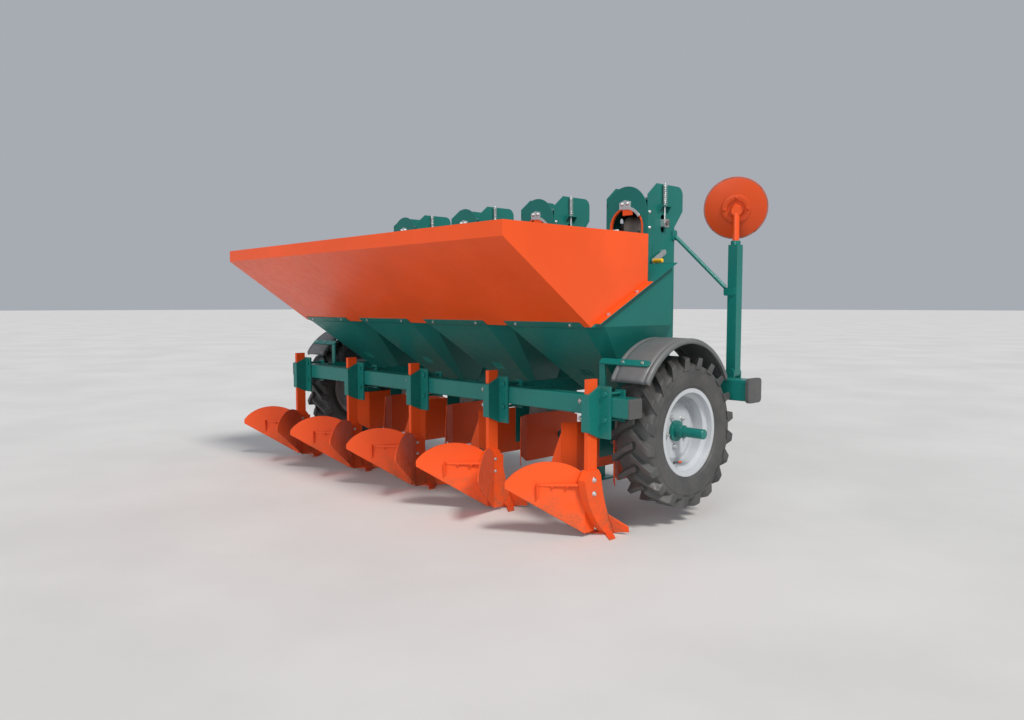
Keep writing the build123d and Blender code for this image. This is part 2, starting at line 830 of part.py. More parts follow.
save(take_up_rods, "take_up_rods")

with BuildPart() as spring_seats:
    for row_x in row_xs:
        for side in sides.values():
            seat_x = row_x + side * elevator_width / 2
            reach = block_gap + bearing_block_depth
            with BuildSketch(Plane(origin=(seat_x + side * reach / 2, upper_y, spring_seat_z))):
                Rectangle(reach, 2 * bearing_block)
                with Locations((side * block_gap / 2, 0)):
                    Circle(tension_rod_radius + 1, mode=Mode.SUBTRACT)
            extrude(amount=spring_seat)
            for end in (-1, 1):
                gusset_x = seat_x if side > 0 else seat_x - reach
                with BuildSketch(facing_back(upper_y + end * bearing_block)):
                    Polygon(
                        (seat_x, spring_seat_z),
                        (seat_x + side * reach, spring_seat_z),
                        (seat_x, spring_seat_z - bearing_block),
                        align=None,
                    )
                extrude(amount=end * steel_sheet)
save(spring_seats, "spring_seats")


def coil_points(turns, pitch, radius):
    """Points and directions of a helix at every quarter turn."""
    points = []
    for quarter in range(int(4 * turns) + 1):
        angle = radians(90 * quarter)
        spot = Vector(radius * cos(angle), radius * sin(angle), pitch * quarter / 4)
        heading = Vector(-radius * sin(angle), radius * cos(angle), pitch / (2 * pi)).normalized()
        points.append((spot, heading))
    return points


def biarc_joint(start, start_heading, end, end_heading):
    """Point where the two arcs of a biarc meet."""
    gap = end - start
    both = start_heading + end_heading
    bend = 2 * (1 - start_heading.dot(end_heading))
    along = gap.dot(both)
    handle = (-along + (along * along + bend * gap.dot(gap)) ** 0.5) / bend
    return (start + end + (start_heading - end_heading) * handle) * 0.5


spring_pitch = (spring_length - spring_wire) / spring_turns
coil = coil_points(spring_turns, spring_pitch, spring_coil_radius)
with BuildPart() as spring_form:
    with BuildLine() as coil_line:
        for (start, heading), (end, end_heading) in zip(coil, coil[1:]):
            joint = biarc_joint(start, heading, end, end_heading)
            first_arc = TangentArc(start, joint, tangent=heading)
            TangentArc(joint, end, tangent=first_arc % 1)
    with BuildSketch(Plane(origin=coil[0][0], z_dir=coil[0][1])):
        Circle(spring_wire / 2)
    sweep()

turn_samples = 24
sample_count = turn_samples * spring_turns
samples = [coil_line.wires()[0] @ (step / sample_count) for step in range(sample_count + 1)]
least_gap = min(
    (samples[low] - samples[high]).length - spring_wire
    for low in range(len(samples))
    for high in range(low + turn_samples // 2, len(samples))
)
print(f"least gap of a tension spring to itself: {least_gap:.2f} mm")

with BuildPart() as tension_springs:
    spring_spots = []
    for row_x in row_xs:
        for side in sides.values():
            spring_x = row_x + side * (block_inner + bearing_block_depth / 2)
            spring_spots.append((spring_x, upper_y, spring_seat_z + spring_seat + spring_wire / 2))
    with Locations(*spring_spots):
        add(spring_form.part)
save(tension_springs, "tension_springs")

# Shaker levers with their grips, on the right cheek of every row
lever_way = (cos(radians(lever_angle)), sin(radians(lever_angle)))
for index, row_x in enumerate(row_xs, 1):
    lever_x = row_x + elevator_width / 2 + running_gap
    pivot = at(lever_pivot_y, lever_pivot_z)
    with BuildPart() as shaker_lever:
        with BuildSketch(Plane.YZ.offset(lever_x)):
            with Locations(pivot):
                Circle(lever_boss_radius)
        extrude(amount=lever_stand_off)
        with BuildSketch(Plane.YZ.offset(lever_x - steel_sheet - 2 * running_gap)):
            with Locations(pivot):
                Circle(lever_boss_radius / 2 - running_gap)
        extrude(amount=steel_sheet + 2 * running_gap + lever_stand_off)
        arm_middle = (pivot[0] + lever_way[0] * lever_length / 2, pivot[1] + lever_way[1] * lever_length / 2)
        with BuildSketch(Plane.YZ.offset(lever_x + lever_stand_off)):
            with Locations(arm_middle):
                SlotOverall(lever_length + 2 * lever_boss_radius, 2 * lever_boss_radius, rotation=lever_angle)
        extrude(amount=lever_thickness)
    save(shaker_lever, f"shaker_lever_{index}")
    with BuildPart() as lever_grip:
        end_y = pivot[0] + lever_way[0] * lever_length
        end_z = pivot[1] + lever_way[1] * lever_length
        with BuildSketch(along_x(lever_x + lever_stand_off + lever_thickness, end_y, end_z)):
            Circle(grip_radius)
        extrude(amount=grip_length)
        fillet(lever_grip.edges().sort_by(Axis.X)[-1], grip_radius / 2)
    save(lever_grip, f"lever_grip_{index}")

# Ground wheels, built on the right and mirrored to the left
hub_face_x = wheel_x + disc_offset + disc_thickness / 2
axle_line = Axis((wheel_x, axle_y, axle_z), (1, 0, 0))
wheel_section = Plane(origin=(wheel_x, axle_y, axle_z), x_dir=(1, 0, 0), z_dir=(0, -1, 0))
half_rim = rim_width / 2
with BuildPart() as rim_form:
    with BuildSketch(wheel_section):
        outer = [
            (half_rim - 7, rim_flange_radius),
            (half_rim - 7, rim_seat_radius + 2),
            (half_rim - 36, rim_seat_radius),
            (half_rim - 50, rim_drop_radius + rim_thickness),
        ]
        inner = [
            (half_rim - 44, rim_drop_radius),
            (half_rim - 31, rim_seat_radius - rim_thickness),
            (half_rim, rim_seat_radius - rim_thickness + 2),
            (half_rim, rim_flange_radius),
        ]
        far_outer = [(-x, r) for x, r in reversed(outer)]
        far_inner = [(-x, r) for x, r in reversed(inner)]
        Polygon(*outer, *far_outer, *far_inner, *inner, align=None)
    revolve(axis=axle_line)
    with BuildSketch(wheel_section):
        disc_back = disc_offset - disc_thickness / 2
        disc_front = disc_offset + disc_thickness / 2
        Polygon(
            (disc_back, axle_radius + running_gap),
            (disc_front, axle_radius + running_gap),
            (disc_front, rim_drop_radius - 40),
            (disc_front - 12, rim_drop_radius - 14),
            (disc_front - 12, rim_drop_radius + 1),
            (disc_back - 12, rim_drop_radius + 1),
            (disc_back - 12, rim_drop_radius - 16),
            (disc_back, rim_drop_radius - 42),
            align=None,
        )
    revolve(axis=axle_line)

tread_radius = tyre_radius - lug_height
with BuildPart() as tyre_form:
    with BuildSketch(wheel_section):
        bead = half_rim - 8
        half_tyre = tyre_width / 2
        middle = (rim_flange_radius + tread_radius) / 2
        with BuildLine():
            Polyline(
                (-bead, rim_flange_radius),
                (-bead, rim_seat_radius + 3),
                (-(half_rim - 37), rim_seat_radius + 1),
                (half_rim - 37, rim_seat_radius + 1),
                (bead, rim_seat_radius + 3),
                (bead, rim_flange_radius),
            )
            Line((bead, rim_flange_radius), (bead + 8, rim_flange_radius + 4))
            ThreePointArc(
                (bead + 8, rim_flange_radius + 4),
                (half_tyre, middle),
                (half_tyre - 12, tread_radius - 20),
            )
            ThreePointArc(
                (half_tyre - 12, tread_radius - 20),
                (0, tread_radius),
                (-(half_tyre - 12), tread_radius - 20),
            )
            ThreePointArc(
                (-(half_tyre - 12), tread_radius - 20),
                (-half_tyre, middle),
                (-(bead + 8), rim_flange_radius + 4),
            )
            Line((-(bead + 8), rim_flange_radius + 4), (-bead, rim_flange_radius))
        make_face()
    revolve(axis=axle_line)
    lug_root = tread_radius - 34
    lug_top = (tyre_radius**2 - (lug_sweep + lug_width / 2) ** 2) ** 0.5
    for index in range(lug_count):
        for half in (-1, 1):
            angle = radians(360 / lug_count * (index + (0.25 if half > 0 else -0.25)))
            outward = Vector(0, sin(angle), cos(angle))
            lug_plane = Plane(Vector(wheel_x, axle_y, axle_z) + outward * lug_root, x_dir=(1, 0, 0), z_dir=outward)
            with BuildSketch(lug_plane):
                Polygon(
                    (-half * 12, -lug_width / 2),
                    (-half * 12, lug_width / 2),
                    (half * (half_tyre - 2), lug_width / 2 - lug_sweep),
                    (half * (half_tyre - 2), -lug_width / 2 - lug_sweep),
                    align=None,
                )
    extrude(amount=lug_top - lug_root)

stud_circle_radius = wheel_stud_circle / 2
with BuildPart() as nut_form:
    with BuildSketch(along_x(hub_face_x, axle_y, axle_z)):
        with PolarLocations(stud_circle_radius, wheel_stud_count, 45):
            RegularPolygon(13, 6)
    extrude(amount=12)
    with BuildSketch(along_x(hub_face_x, axle_y, axle_z)):
        with PolarLocations(stud_circle_radius, wheel_stud_count, 45):
            Circle(7)
    extrude(amount=22)

hanger_x = axle_rail_x - rail_width / 2
with BuildPart() as axle_form:
    with BuildSketch(along_x(hanger_x, axle_y, axle_z)):
        Circle(axle_radius)
    extrude(amount=axle_end_x - hanger_x)
    chamfer(axle_form.edges().sort_by(Axis.X)[-1], 3)
    with BuildSketch(along_x(hub_face_x, axle_y, axle_z)):
        Circle(hub_flange_radius)
    extrude(amount=hub_flange_thickness)
    with BuildSketch(along_x(hub_face_x + hub_flange_thickness, axle_y, axle_z)):
        Circle(hub_collar_radius)
    extrude(amount=hub_collar_length)

wheel_forms = {"rim": rim_form, "tyre": tyre_form, "wheel_nuts": nut_form, "wheel_axle": axle_form}
for form_name, form in wheel_forms.items():
    save(form, f"{form_name}_right")
    with BuildPart() as mirrored:
        mirror(form.part, about=Plane.YZ)
    save(mirrored, f"{form_name}_left")

# Axle hangers under the rails, and the chain case of each side
with BuildPart() as axle_hangers:
    hanger_top = rail_z - rail_height / 2
    for side in sides.values():
        for hanger_at in (hanger_x, hanger_x + rail_width - hanger_thickness):
            with BuildSketch(Plane.YZ.offset(side * hanger_at)):
                with Locations((axle_y, axle_z)):
                    Circle(hanger_radius)
                with Locations((axle_y, axle_z)):
                    Rectangle(2 * hanger_radius, hanger_top - axle_z, align=(Align.CENTER, Align.MIN))
                with Locations((axle_y, axle_z)):
                    Circle(axle_radius + running_gap, mode=Mode.SUBTRACT)
            extrude(amount=side * hanger_thickness)
save(axle_hangers, "axle_hangers")

with BuildPart() as chain_cases:
    case_run = hypot(lower_y - axle_y, lower_shaft_z - axle_z)
    case_tilt = degrees(atan2(lower_shaft_z - axle_z, lower_y - axle_y))
    for side in sides.values():
        with BuildSketch(Plane.YZ.offset(side * case_inner_x)):
            with Locations(((axle_y + lower_y) / 2, (axle_z + lower_shaft_z) / 2)):
                SlotCenterToCenter(case_run, 2 * chain_case_radius, rotation=case_tilt)
            with Locations((axle_y, axle_z)):
                Circle(axle_radius + running_gap, mode=Mode.SUBTRACT)
            with Locations((lower_y, lower_shaft_z)):
                Circle(shaft_radius + running_gap, mode=Mode.SUBTRACT)
        extrude(amount=side * chain_case_width)
save(chain_cases, "chain_cases")

# Mudguards: a rolled band with a rounded, turned-down lip on both edges
guard_y = axle_y - guard_centre_back
guard_z = axle_z + guard_centre_lift
guard_inner_x = wheel_x - guard_width / 2 - guard_inset
guard_start = radians(guard_front_angle)
guard_tread = guard_radius - guard_thickness
guard_edge = guard_radius - guard_lip
with BuildPart() as mudguards:
    for side in sides.values():
        guard_section = Plane(
            origin=(side * guard_inner_x, guard_y, guard_z),
            x_dir=(side, 0, 0),
            z_dir=(0, -side * sin(guard_start), side * cos(guard_start)),
        )
        with BuildSketch(guard_section) as guard_profile:
            Polygon(
                (0, guard_radius),
                (guard_width, guard_radius),
                (guard_width, guard_edge),
                (guard_width - guard_thickness, guard_edge),
                (guard_width - guard_thickness, guard_tread),
                (guard_thickness, guard_tread),
                (guard_thickness, guard_edge),
                (0, guard_edge),
                align=None,
            )
            fillet(guard_profile.vertices().group_by(Axis.Y)[-1], guard_roll)
            fillet(guard_profile.vertices().group_by(Axis.Y)[-2], guard_roll - guard_thickness)
    guard_axis = Axis((0, guard_y, guard_z), (1, 0, 0))
    revolve(axis=guard_axis, revolution_arc=guard_rear_angle - guard_front_angle)
save(mudguards, "mudguards")

# Mudguard brackets: a foot on the axle rail, a post and a bar bolted across the guard
with BuildPart() as guard_brackets:
    bar_way = radians(guard_bar_angle)
    bar_y = guard_y + guard_radius * cos(bar_way)
    bar_z = guard_z + guard_radius * sin(bar_way)
    rail_top_z = rail_z + rail_height / 2
    bar_start = axle_rail_x + rail_width / 2 - guard_bar_width
    bar_end = guard_inner_x + guard_width - guard_lip
    post_depth = guard_bar_thickness * 1.5
    for side in sides.values():
        bar_middle = side * (bar_start + bar_end) / 2
        bar_plane = Plane((bar_middle, bar_y, bar_z), x_dir=(1, 0, 0), z_dir=(0, cos(bar_way), sin(bar_way)))
        with BuildSketch(bar_plane):
            RectangleRounded(bar_end - bar_start, guard_bar_width, guard_bar_width / 3)
        extrude(amount=guard_bar_thickness)
        post_x = side * (bar_start + guard_bar_width / 2)
        with BuildSketch(Plane(origin=(post_x, bar_y - post_depth, rail_top_z))):
            Rectangle(guard_bar_width, post_depth, align=(Align.CENTER, Align.MIN))
        extrude(amount=bar_z - rail_top_z)
        with BuildSketch(Plane(origin=(post_x, bar_y - post_depth, rail_top_z))):
            Rectangle(guard_bar_width, guard_foot_length, align=(Align.CENTER, Align.MIN))
        extrude(amount=guard_bar_thickness)
save(guard_brackets, "guard_brackets")

# Ridger clamps on the rear face of the rear toolbar
bar_face = -rear_bar_size / 2
shank_front = bar_face - clamp_plate
shank_back = shank_front - shank_depth
clamp_back = shank_back - clamp_rear_wall
clamp_half = shank_width / 2 + clamp_plate
tie_height = rear_bar_size / 2 + 2 * clamp_bolt_radius
tie_heights = (tie_height, -tie_height)
with BuildPart() as ridger_clamps:
    for ridger_x in ridger_xs:
        with BuildSketch(Plane.YZ.offset(ridger_x - clamp_half)):
            Polygon(
                at(bar_face, rear_bar_z + clamp_rise),
                at(clamp_back, rear_bar_z + clamp_rear_rise),
                at(clamp_back, rear_bar_z - clamp_rear_drop),
                at(shank_front, rear_bar_z - clamp_drop),
                at(bar_face, rear_bar_z - clamp_drop),
                align=None,
            )
        extrude(amount=2 * clamp_half)
        with BuildSketch(facing_back(rear_bar_y + bar_face)):
            with Locations((ridger_x - clamp_half, rear_bar_z - clamp_drop)):
                Rectangle(clamp_half + clamp_reach, clamp_rise + clamp_drop, align=(Align.MIN, Align.MIN))
        extrude(amount=clamp_plate)
        with BuildSketch(Plane(origin=(ridger_x, rear_bar_y + shank_front, rear_bar_z - clamp_drop))):
            Rectangle(shank_width, shank_depth, align=(Align.CENTER, Align.MAX))
        extrude(amount=clamp_rise + clamp_drop, mode=Mode.SUBTRACT)
        for height in clamp_bolt_heights:
            bolt_y = (shank_front + shank_back) / 2
            with BuildSketch(along_x(ridger_x, rear_bar_y + bolt_y, rear_bar_z + height)):
                Circle(clamp_bolt_radius)
            extrude(amount=-clamp_half, mode=Mode.SUBTRACT)
        tie_x = ridger_x + tie_bolt_x
        for tie_z in tie_heights:
            with BuildSketch(facing_back(rear_bar_y + bar_face)):
                with Locations((tie_x, rear_bar_z + tie_z)):
                    Circle(clamp_bolt_radius)
            extrude(amount=clamp_plate, mode=Mode.SUBTRACT)
save(ridger_clamps, "ridger_clamps")

with BuildPart() as clamp_straps:
    for ridger_x in ridger_xs:
        with BuildSketch(facing_back(rear_bar_y - bar_face)):
            with Locations((ridger_x + strap_start, rear_bar_z)):
                strap_height = rear_bar_size + 8 * clamp_bolt_radius
                Rectangle(clamp_reach - strap_start, strap_height, align=(Align.MIN, Align.CENTER))
            for tie_z in tie_heights:
                with Locations((ridger_x + tie_bolt_x, rear_bar_z + tie_z)):
                    Circle(clamp_bolt_radius, mode=Mode.SUBTRACT)
    extrude(amount=-clamp_plate)
save(clamp_straps, "clamp_straps")

with BuildPart() as clamp_bolts:
    for ridger_x in ridger_xs:
        for height in clamp_bolt_heights:
            bolt_y = rear_bar_y + (shank_front + shank_back) / 2
            with BuildSketch(along_x(ridger_x - shank_width / 2, bolt_y, rear_bar_z + height)):
                Circle(clamp_bolt_radius)
            extrude(amount=-clamp_plate - clamp_bolt_reach)
            with BuildSketch(along_x(ridger_x - clamp_half - clamp_bolt_reach, bolt_y, rear_bar_z + height)):
                RegularPolygon(clamp_bolt_radius * 1.7, 6)
            extrude(amount=-clamp_bolt_radius * 1.4)
        tie_x = ridger_x + tie_bolt_x
        for tie_z in tie_heights:
            with BuildSketch(facing_back(rear_bar_y + shank_front)):
                with Locations((tie_x, rear_bar_z + tie_z)):
                    Circle(clamp_bolt_radius)
            extrude(amount=-rear_bar_size - 2 * clamp_plate)
            with BuildSketch(facing_back(rear_bar_y + shank_front)):
                with Locations((tie_x, rear_bar_z + tie_z)):
                    RegularPolygon(clamp_bolt_radius * 1.7, 6)
            extrude(amount=clamp_bolt_radius * 1.4)
save(clamp_bolts, "clamp_bolts")

# Ridger shanks, frogs with their share points, wings and struts
with BuildPart() as ridger_shanks:
    for ridger_x in ridger_xs:
        with BuildSketch(Plane(origin=(ridger_x, rear_bar_y + shank_front, shank_foot))):
            Rectangle(shank_width, shank_depth, align=(Align.CENTER, Align.MAX))
        extrude(amount=rear_bar_z + shank_top - shank_foot)
save(ridger_shanks, "ridger_shanks")

frog_half = shank_width / 2 + frog_plate
with BuildPart() as ridger_frogs:
    for ridger_x in ridger_xs:
        with BuildSketch(Plane.YZ.offset(ridger_x - frog_half)):
            with BuildLine():
                Polyline(at(shank_back, frog_top + 30), at(shank_front, frog_top + 30), at(shank_front + 20, frog_top))
                ThreePointArc(at(shank_front + 20, frog_top), at(-8, 170), at(share_reach, 0))
                Line(at(share_reach, 0), at(share_reach - 60, 0))
                ThreePointArc(at(share_reach - 60, 0), at(-115, 150), at(-frog_back, frog_top - 20))
                Line(at(-frog_back, frog_top - 20), at(shank_back, frog_top + 30))
            make_face()
        extrude(amount=2 * frog_half)
        with BuildSketch(Plane(origin=(ridger_x, rear_bar_y + shank_front, shank_foot))):
            Rectangle(shank_width, shank_depth, align=(Align.CENTER, Align.MAX))
        extrude(amount=frog_top, mode=Mode.SUBTRACT)
        with BuildSketch(Plane.XY):
            for side in sides.values():
                Polygon(
                    (ridger_x, rear_bar_y + share_reach),
                    (ridger_x, rear_bar_y + share_reach - 60),
                    (ridger_x + side * blade_spread, rear_bar_y + share_reach - 130),
                    (ridger_x + side * blade_spread, rear_bar_y + share_reach - 85),
                    align=None,
                )
        extrude(amount=wing_sheet)
save(ridger_frogs, "ridger_frogs")

wing_way = atan2(wing_spread - frog_half, wing_reach - wing_root)


def wing_line(side, ridger_x):
    """Plan view of a wing: a flat root along the frog, then the flared mouldboard."""
    return [
        (ridger_x + side * frog_half, rear_bar_y - wing_root + 75),
        (ridger_x + side * frog_half, rear_bar_y - wing_root),
        (ridger_x + side * wing_spread, rear_bar_y - wing_reach),
    ]


wing_rows = {"left": ridger_xs, "right": ridger_xs[:-1]}
for side_name, side in sides.items():
    with BuildPart() as ridger_wings:
        for ridger_x in wing_rows[side_name]:
            with BuildSketch(Plane.XY):
                with BuildLine():
                    Polyline(*wing_line(side, ridger_x))
                    offset(amount=wing_sheet, side=Side.LEFT if side > 0 else Side.RIGHT)
                make_face()
        extrude(amount=wing_crown_z + 20)
        with BuildSketch(Plane.YZ):
            with BuildLine():
                Polyline(at(-wing_root, wing_root_z), at(-wing_root + 80, wing_root_z), at(-wing_root + 80, wing_foot_z))
                Polyline(at(-wing_root + 80, wing_foot_z), at(-wing_root, wing_foot_z), at(-wing_reach - 8, wing_tip_z))
                ThreePointArc(
                    at(-wing_reach - 8, wing_tip_z),
                    at(-(wing_root + wing_reach) / 2 - 30, wing_crown_z),
                    at(-wing_root, wing_root_z),
                )
            make_face()
        extrude(amount=hopper_width, both=True, mode=Mode.INTERSECT)
    save(ridger_wings, f"ridger_{side_name}_wings")

with BuildPart() as wing_struts:
    for side_name, side in sides.items():
        for ridger_x in wing_rows[side_name]:
            run = 0.58
            wing_point = (
                ridger_x + side * (frog_half + run * (wing_spread - frog_half)),
                rear_bar_y - wing_root - run * (wing_reach - wing_root),
            )
            step = (side * sin(wing_way) * strut_height, -cos(wing_way) * strut_height)
            with BuildSketch(Plane.XY.offset(strut_z)):
                Polygon(
                    wing_point,
                    (wing_point[0] + step[0], wing_point[1] + step[1]),
                    (ridger_x + side * frog_half, rear_bar_y - frog_back + 12),
                    (ridger_x + side * frog_half, rear_bar_y - frog_back + 12 + strut_height),
                    align=None,
                )
            extrude(amount=strut_height)
save(wing_struts, "wing_struts")

# Furrow openers: a bent shoe around the foot of each elevator
opener_half = elevator_width / 2


def opener_line(row_x):
    """Plan view of the shoe's inner face, from the left flare round the nose to the right one."""
    right = [
        (opener_half + opener_flare, opener_back - opener_flare),
        (opener_half, opener_back + opener_flare),
        (opener_half, opener_shoulder),
    ]
    left = [(-x, y) for x, y in reversed(right)]
    return [(row_x + x, rear_bar_y + y) for x, y in right + [(0, opener_nose)] + left]


with BuildPart() as furrow_openers:
    for row_x in row_xs:
        with BuildSketch(Plane.XY):
            with BuildLine():
                Polyline(*opener_line(row_x))
                offset(amount=opener_sheet, side=Side.RIGHT)
            make_face()
    extrude(amount=opener_back_z)
    with BuildSketch(Plane.YZ):
        Polygon(
            at(opener_back - 2 * opener_flare, opener_back_z),
            at(opener_shoulder - 150, opener_back_z),
            at(opener_nose + 3 * opener_sheet, opener_nose_z),
            at(opener_nose + 3 * opener_sheet, opener_sole_z + 60),
            at(opener_shoulder, opener_sole_z),
            at(opener_back + opener_flare, opener_sole_z),
            at(opener_back - 2 * opener_flare, opener_sole_z + 80),
            align=None,
        )
    extrude(amount=hopper_width, both=True, mode=Mode.INTERSECT)
    with BuildSketch(along_x(0, lower_y, lower_shaft_z)):
        Circle(2 * shaft_radius)
    extrude(amount=hopper_width, both=True, mode=Mode.SUBTRACT)
save(furrow_openers, "furrow_openers")

# Row markers: brackets on the front toolbar, folding masts, arms and dished discs
marker_y = hitch_face_y + marker_lug + running_gap + marker_tube / 2
half_tube = marker_tube / 2
lug_back_y = marker_y - half_tube - running_gap - marker_lug
lug_front_y = marker_y + half_tube + running_gap
with BuildPart() as marker_brackets:
    for side in sides.values():
        lug_foot_z = front_bar_z - front_bar_size / 2
        for lug_y in (lug_back_y, lug_front_y):
            with BuildSketch(facing_back(lug_y + marker_lug)):
                with Locations((side * marker_x, marker_pivot_z)):
                    Circle(half_tube)
                with Locations((side * (marker_x - half_tube / 2), lug_foot_z)):
                    Rectangle(3 * half_tube, marker_pivot_z - lug_foot_z, align=(Align.CENTER, Align.MIN))
            extrude(amount=marker_lug)
        web_x = side * (marker_x - 2 * half_tube)
        with BuildSketch(Plane(origin=(web_x, lug_back_y, lug_foot_z))):
            web_align = (Align.MIN if side > 0 else Align.MAX, Align.MIN)
            Rectangle(marker_lug, lug_front_y - lug_back_y, align=web_align)
        extrude(amount=marker_pivot_z - lug_foot_z)
        with BuildSketch(facing_back(lug_front_y + marker_lug + 6)):
            with Locations((side * marker_x, marker_pivot_z)):
                Circle(marker_pin_radius)
        extrude(amount=lug_front_y + marker_lug - lug_back_y + 6)
save(marker_brackets, "marker_brackets")

disc_way = Vector(-sin(radians(disc_yaw)), cos(radians(disc_yaw)), -tan(radians(disc_lift))).normalized()
for side_name, side in sides.items():
    mast_x = side * marker_x
    with BuildPart() as marker_mast:
        with BuildSketch(Plane(origin=(mast_x, marker_y, marker_pivot_z))):
            Rectangle(marker_tube, marker_tube)
        extrude(amount=marker_top_z - marker_pivot_z)
        with BuildSketch(facing_back(marker_y - half_tube)):
            with Locations((mast_x, marker_pivot_z)):
                Circle(half_tube)
        extrude(amount=-marker_tube)
        with BuildSketch(Plane(origin=(mast_x, marker_y, marker_pivot_z + 1.5 * half_tube))):
            bore = marker_tube - 2 * marker_tube_wall
            Rectangle(bore, bore)
        extrude(amount=marker_top_z - marker_pivot_z - 1.5 * half_tube - 2 * marker_tube_wall, mode=Mode.SUBTRACT)
        with BuildSketch(Plane(origin=(mast_x, marker_y, marker_top_z - 3 * marker_tube_wall))):
            Circle(marker_arm_radius + running_gap)
        extrude(amount=3 * marker_tube_wall, mode=Mode.SUBTRACT)
        with BuildSketch(facing_back(marker_y - half_tube)):
            with Locations((mast_x, marker_pivot_z)):
                Circle(marker_pin_radius + running_gap)
        extrude(amount=-marker_tube, mode=Mode.SUBTRACT)
    save(marker_mast, f"marker_mast_{side_name}")

    way = Vector(side * disc_way.X, disc_way.Y, disc_way.Z)
    hub = Vector(mast_x, marker_y, marker_hub_z)
    with BuildPart() as marker_arm:
        with BuildSketch(Plane(origin=(mast_x, marker_y, marker_top_z - marker_arm_insert))):
            Circle(marker_arm_radius)
        extrude(amount=marker_hub_z - marker_top_z + marker_arm_insert)
        with BuildSketch(Plane(origin=hub - way * hub_length / 2, z_dir=way)):
            Circle(hub_radius)
        extrude(amount=hub_length)
        with BuildSketch(Plane(origin=hub, z_dir=way)):
            Circle(spindle_radius)
        extrude(amount=hub_length / 2 + disc_sheet + 4 * running_gap)
        with BuildSketch(Plane(origin=hub + way * (hub_length / 2 + disc_sheet + 4 * running_gap), z_dir=way)):
            Circle(hub_radius * 0.7)
        extrude(amount=disc_sheet * 2)
    save(marker_arm, f"marker_arm_{side_name}")

    face = hub + way * (hub_length / 2 + running_gap)
    across = Vector(0, 0, 1).cross(way).normalized()
    bore = spindle_radius + running_gap
    with BuildPart() as marker_disc:
        with BuildSketch(Plane(origin=face, x_dir=across, z_dir=across.cross(way))):
            with BuildLine():
                Line((bore, 0), (bore, disc_sheet))
                ThreePointArc(
                    (bore, disc_sheet),
                    (disc_radius / 2, disc_dish / 4 + disc_sheet),
                    (disc_radius, disc_dish + disc_sheet / 2),
                )
                Line((disc_radius, disc_dish + disc_sheet / 2), (disc_radius, disc_dish))
                ThreePointArc((disc_radius, disc_dish), (disc_radius / 2, disc_dish / 4), (bore, 0))
            make_face()
        revolve(axis=Axis(face, -way))
    save(marker_disc, f"marker_disc_{side_name}")

# Transport stays from the outer elevators to the masts
with BuildPart() as marker_stays:
    for side in sides.values():
        cheek_x = side * (max(row_xs) + elevator_width / 2)
        top_y, top_z = at(stay_top_y, elevator_top_z - stay_top_drop)
        start = Vector(cheek_x + side * stay_tab / 2, top_y, top_z)
        foot_y = marker_y - half_tube - running_gap - stay_tab / 2
        end = Vector(side * (marker_x - half_tube / 2), foot_y, stay_foot_z)
        with BuildSketch(along_x(cheek_x, top_y, top_z)):
            RectangleRounded(4 * stay_radius, 5 * stay_radius, stay_radius)
        extrude(amount=side * stay_tab)
        with BuildSketch(facing_back(foot_y + stay_tab / 2)):
            with Locations((end.X, end.Z)):
                RectangleRounded(6 * stay_radius, 4 * stay_radius, stay_radius)
        extrude(amount=stay_tab)
        tube_way = (end - start).normalized()
        inset = 1.2 * stay_radius
        with BuildSketch(Plane(origin=start + tube_way * inset, z_dir=tube_way)):
            Circle(stay_radius)
        extrude(amount=(end - start).length - inset - 3 * stay_radius)
save(marker_stays, "marker_stays")

# Bolts of the hopper's flanges and of the mudguard bars
with BuildPart() as flange_bolts:
    for side in sides.values():
        for share in (0.25, 0.75):
            spot_y = throat_back + share * throat_run
            top = beside_throat(spot_y, 1)
            bolt_spot = (side * (hopper_width / 2 + flange_width / 2), top[0], top[1])
            bolt_plane = Plane(bolt_spot, z_dir=(0, -sin(throat_slope), cos(throat_slope)))
            with BuildSketch(bolt_plane):
                RegularPolygon(11, 6)
            extrude(amount=8)
        for share in (0.47, 0.86):
            bolt_x = side * (bar_start + share * (bar_end - bar_start))
            spot = Vector(bolt_x, bar_y, bar_z)
            outward = Vector(0, cos(bar_way), sin(bar_way))
            with BuildSketch(Plane(spot + outward * guard_bar_thickness, z_dir=outward)):
                RegularPolygon(9, 6)
            extrude(amount=6)
    for row_x in row_xs:
        for share in (-0.36, 0.36):
            middle = (flange_y + floor_step[0] / 2 + floor_out[0], flange_z + floor_step[1] / 2 + floor_out[1])
            out_way = (0, -sin(floor_slope), -cos(floor_slope))
            with BuildSketch(Plane((row_x + share * funnel_back_width, middle[0], middle[1]), z_dir=out_way)):
                RegularPolygon(9, 6)
            extrude(amount=6)
save(flange_bolts, "flange_bolts")
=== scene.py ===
import json
from math import cos, exp, pi, radians, sin

import bmesh
import bpy
from mathutils import Matrix, Vector
from mathutils.bvhtree import BVHTree


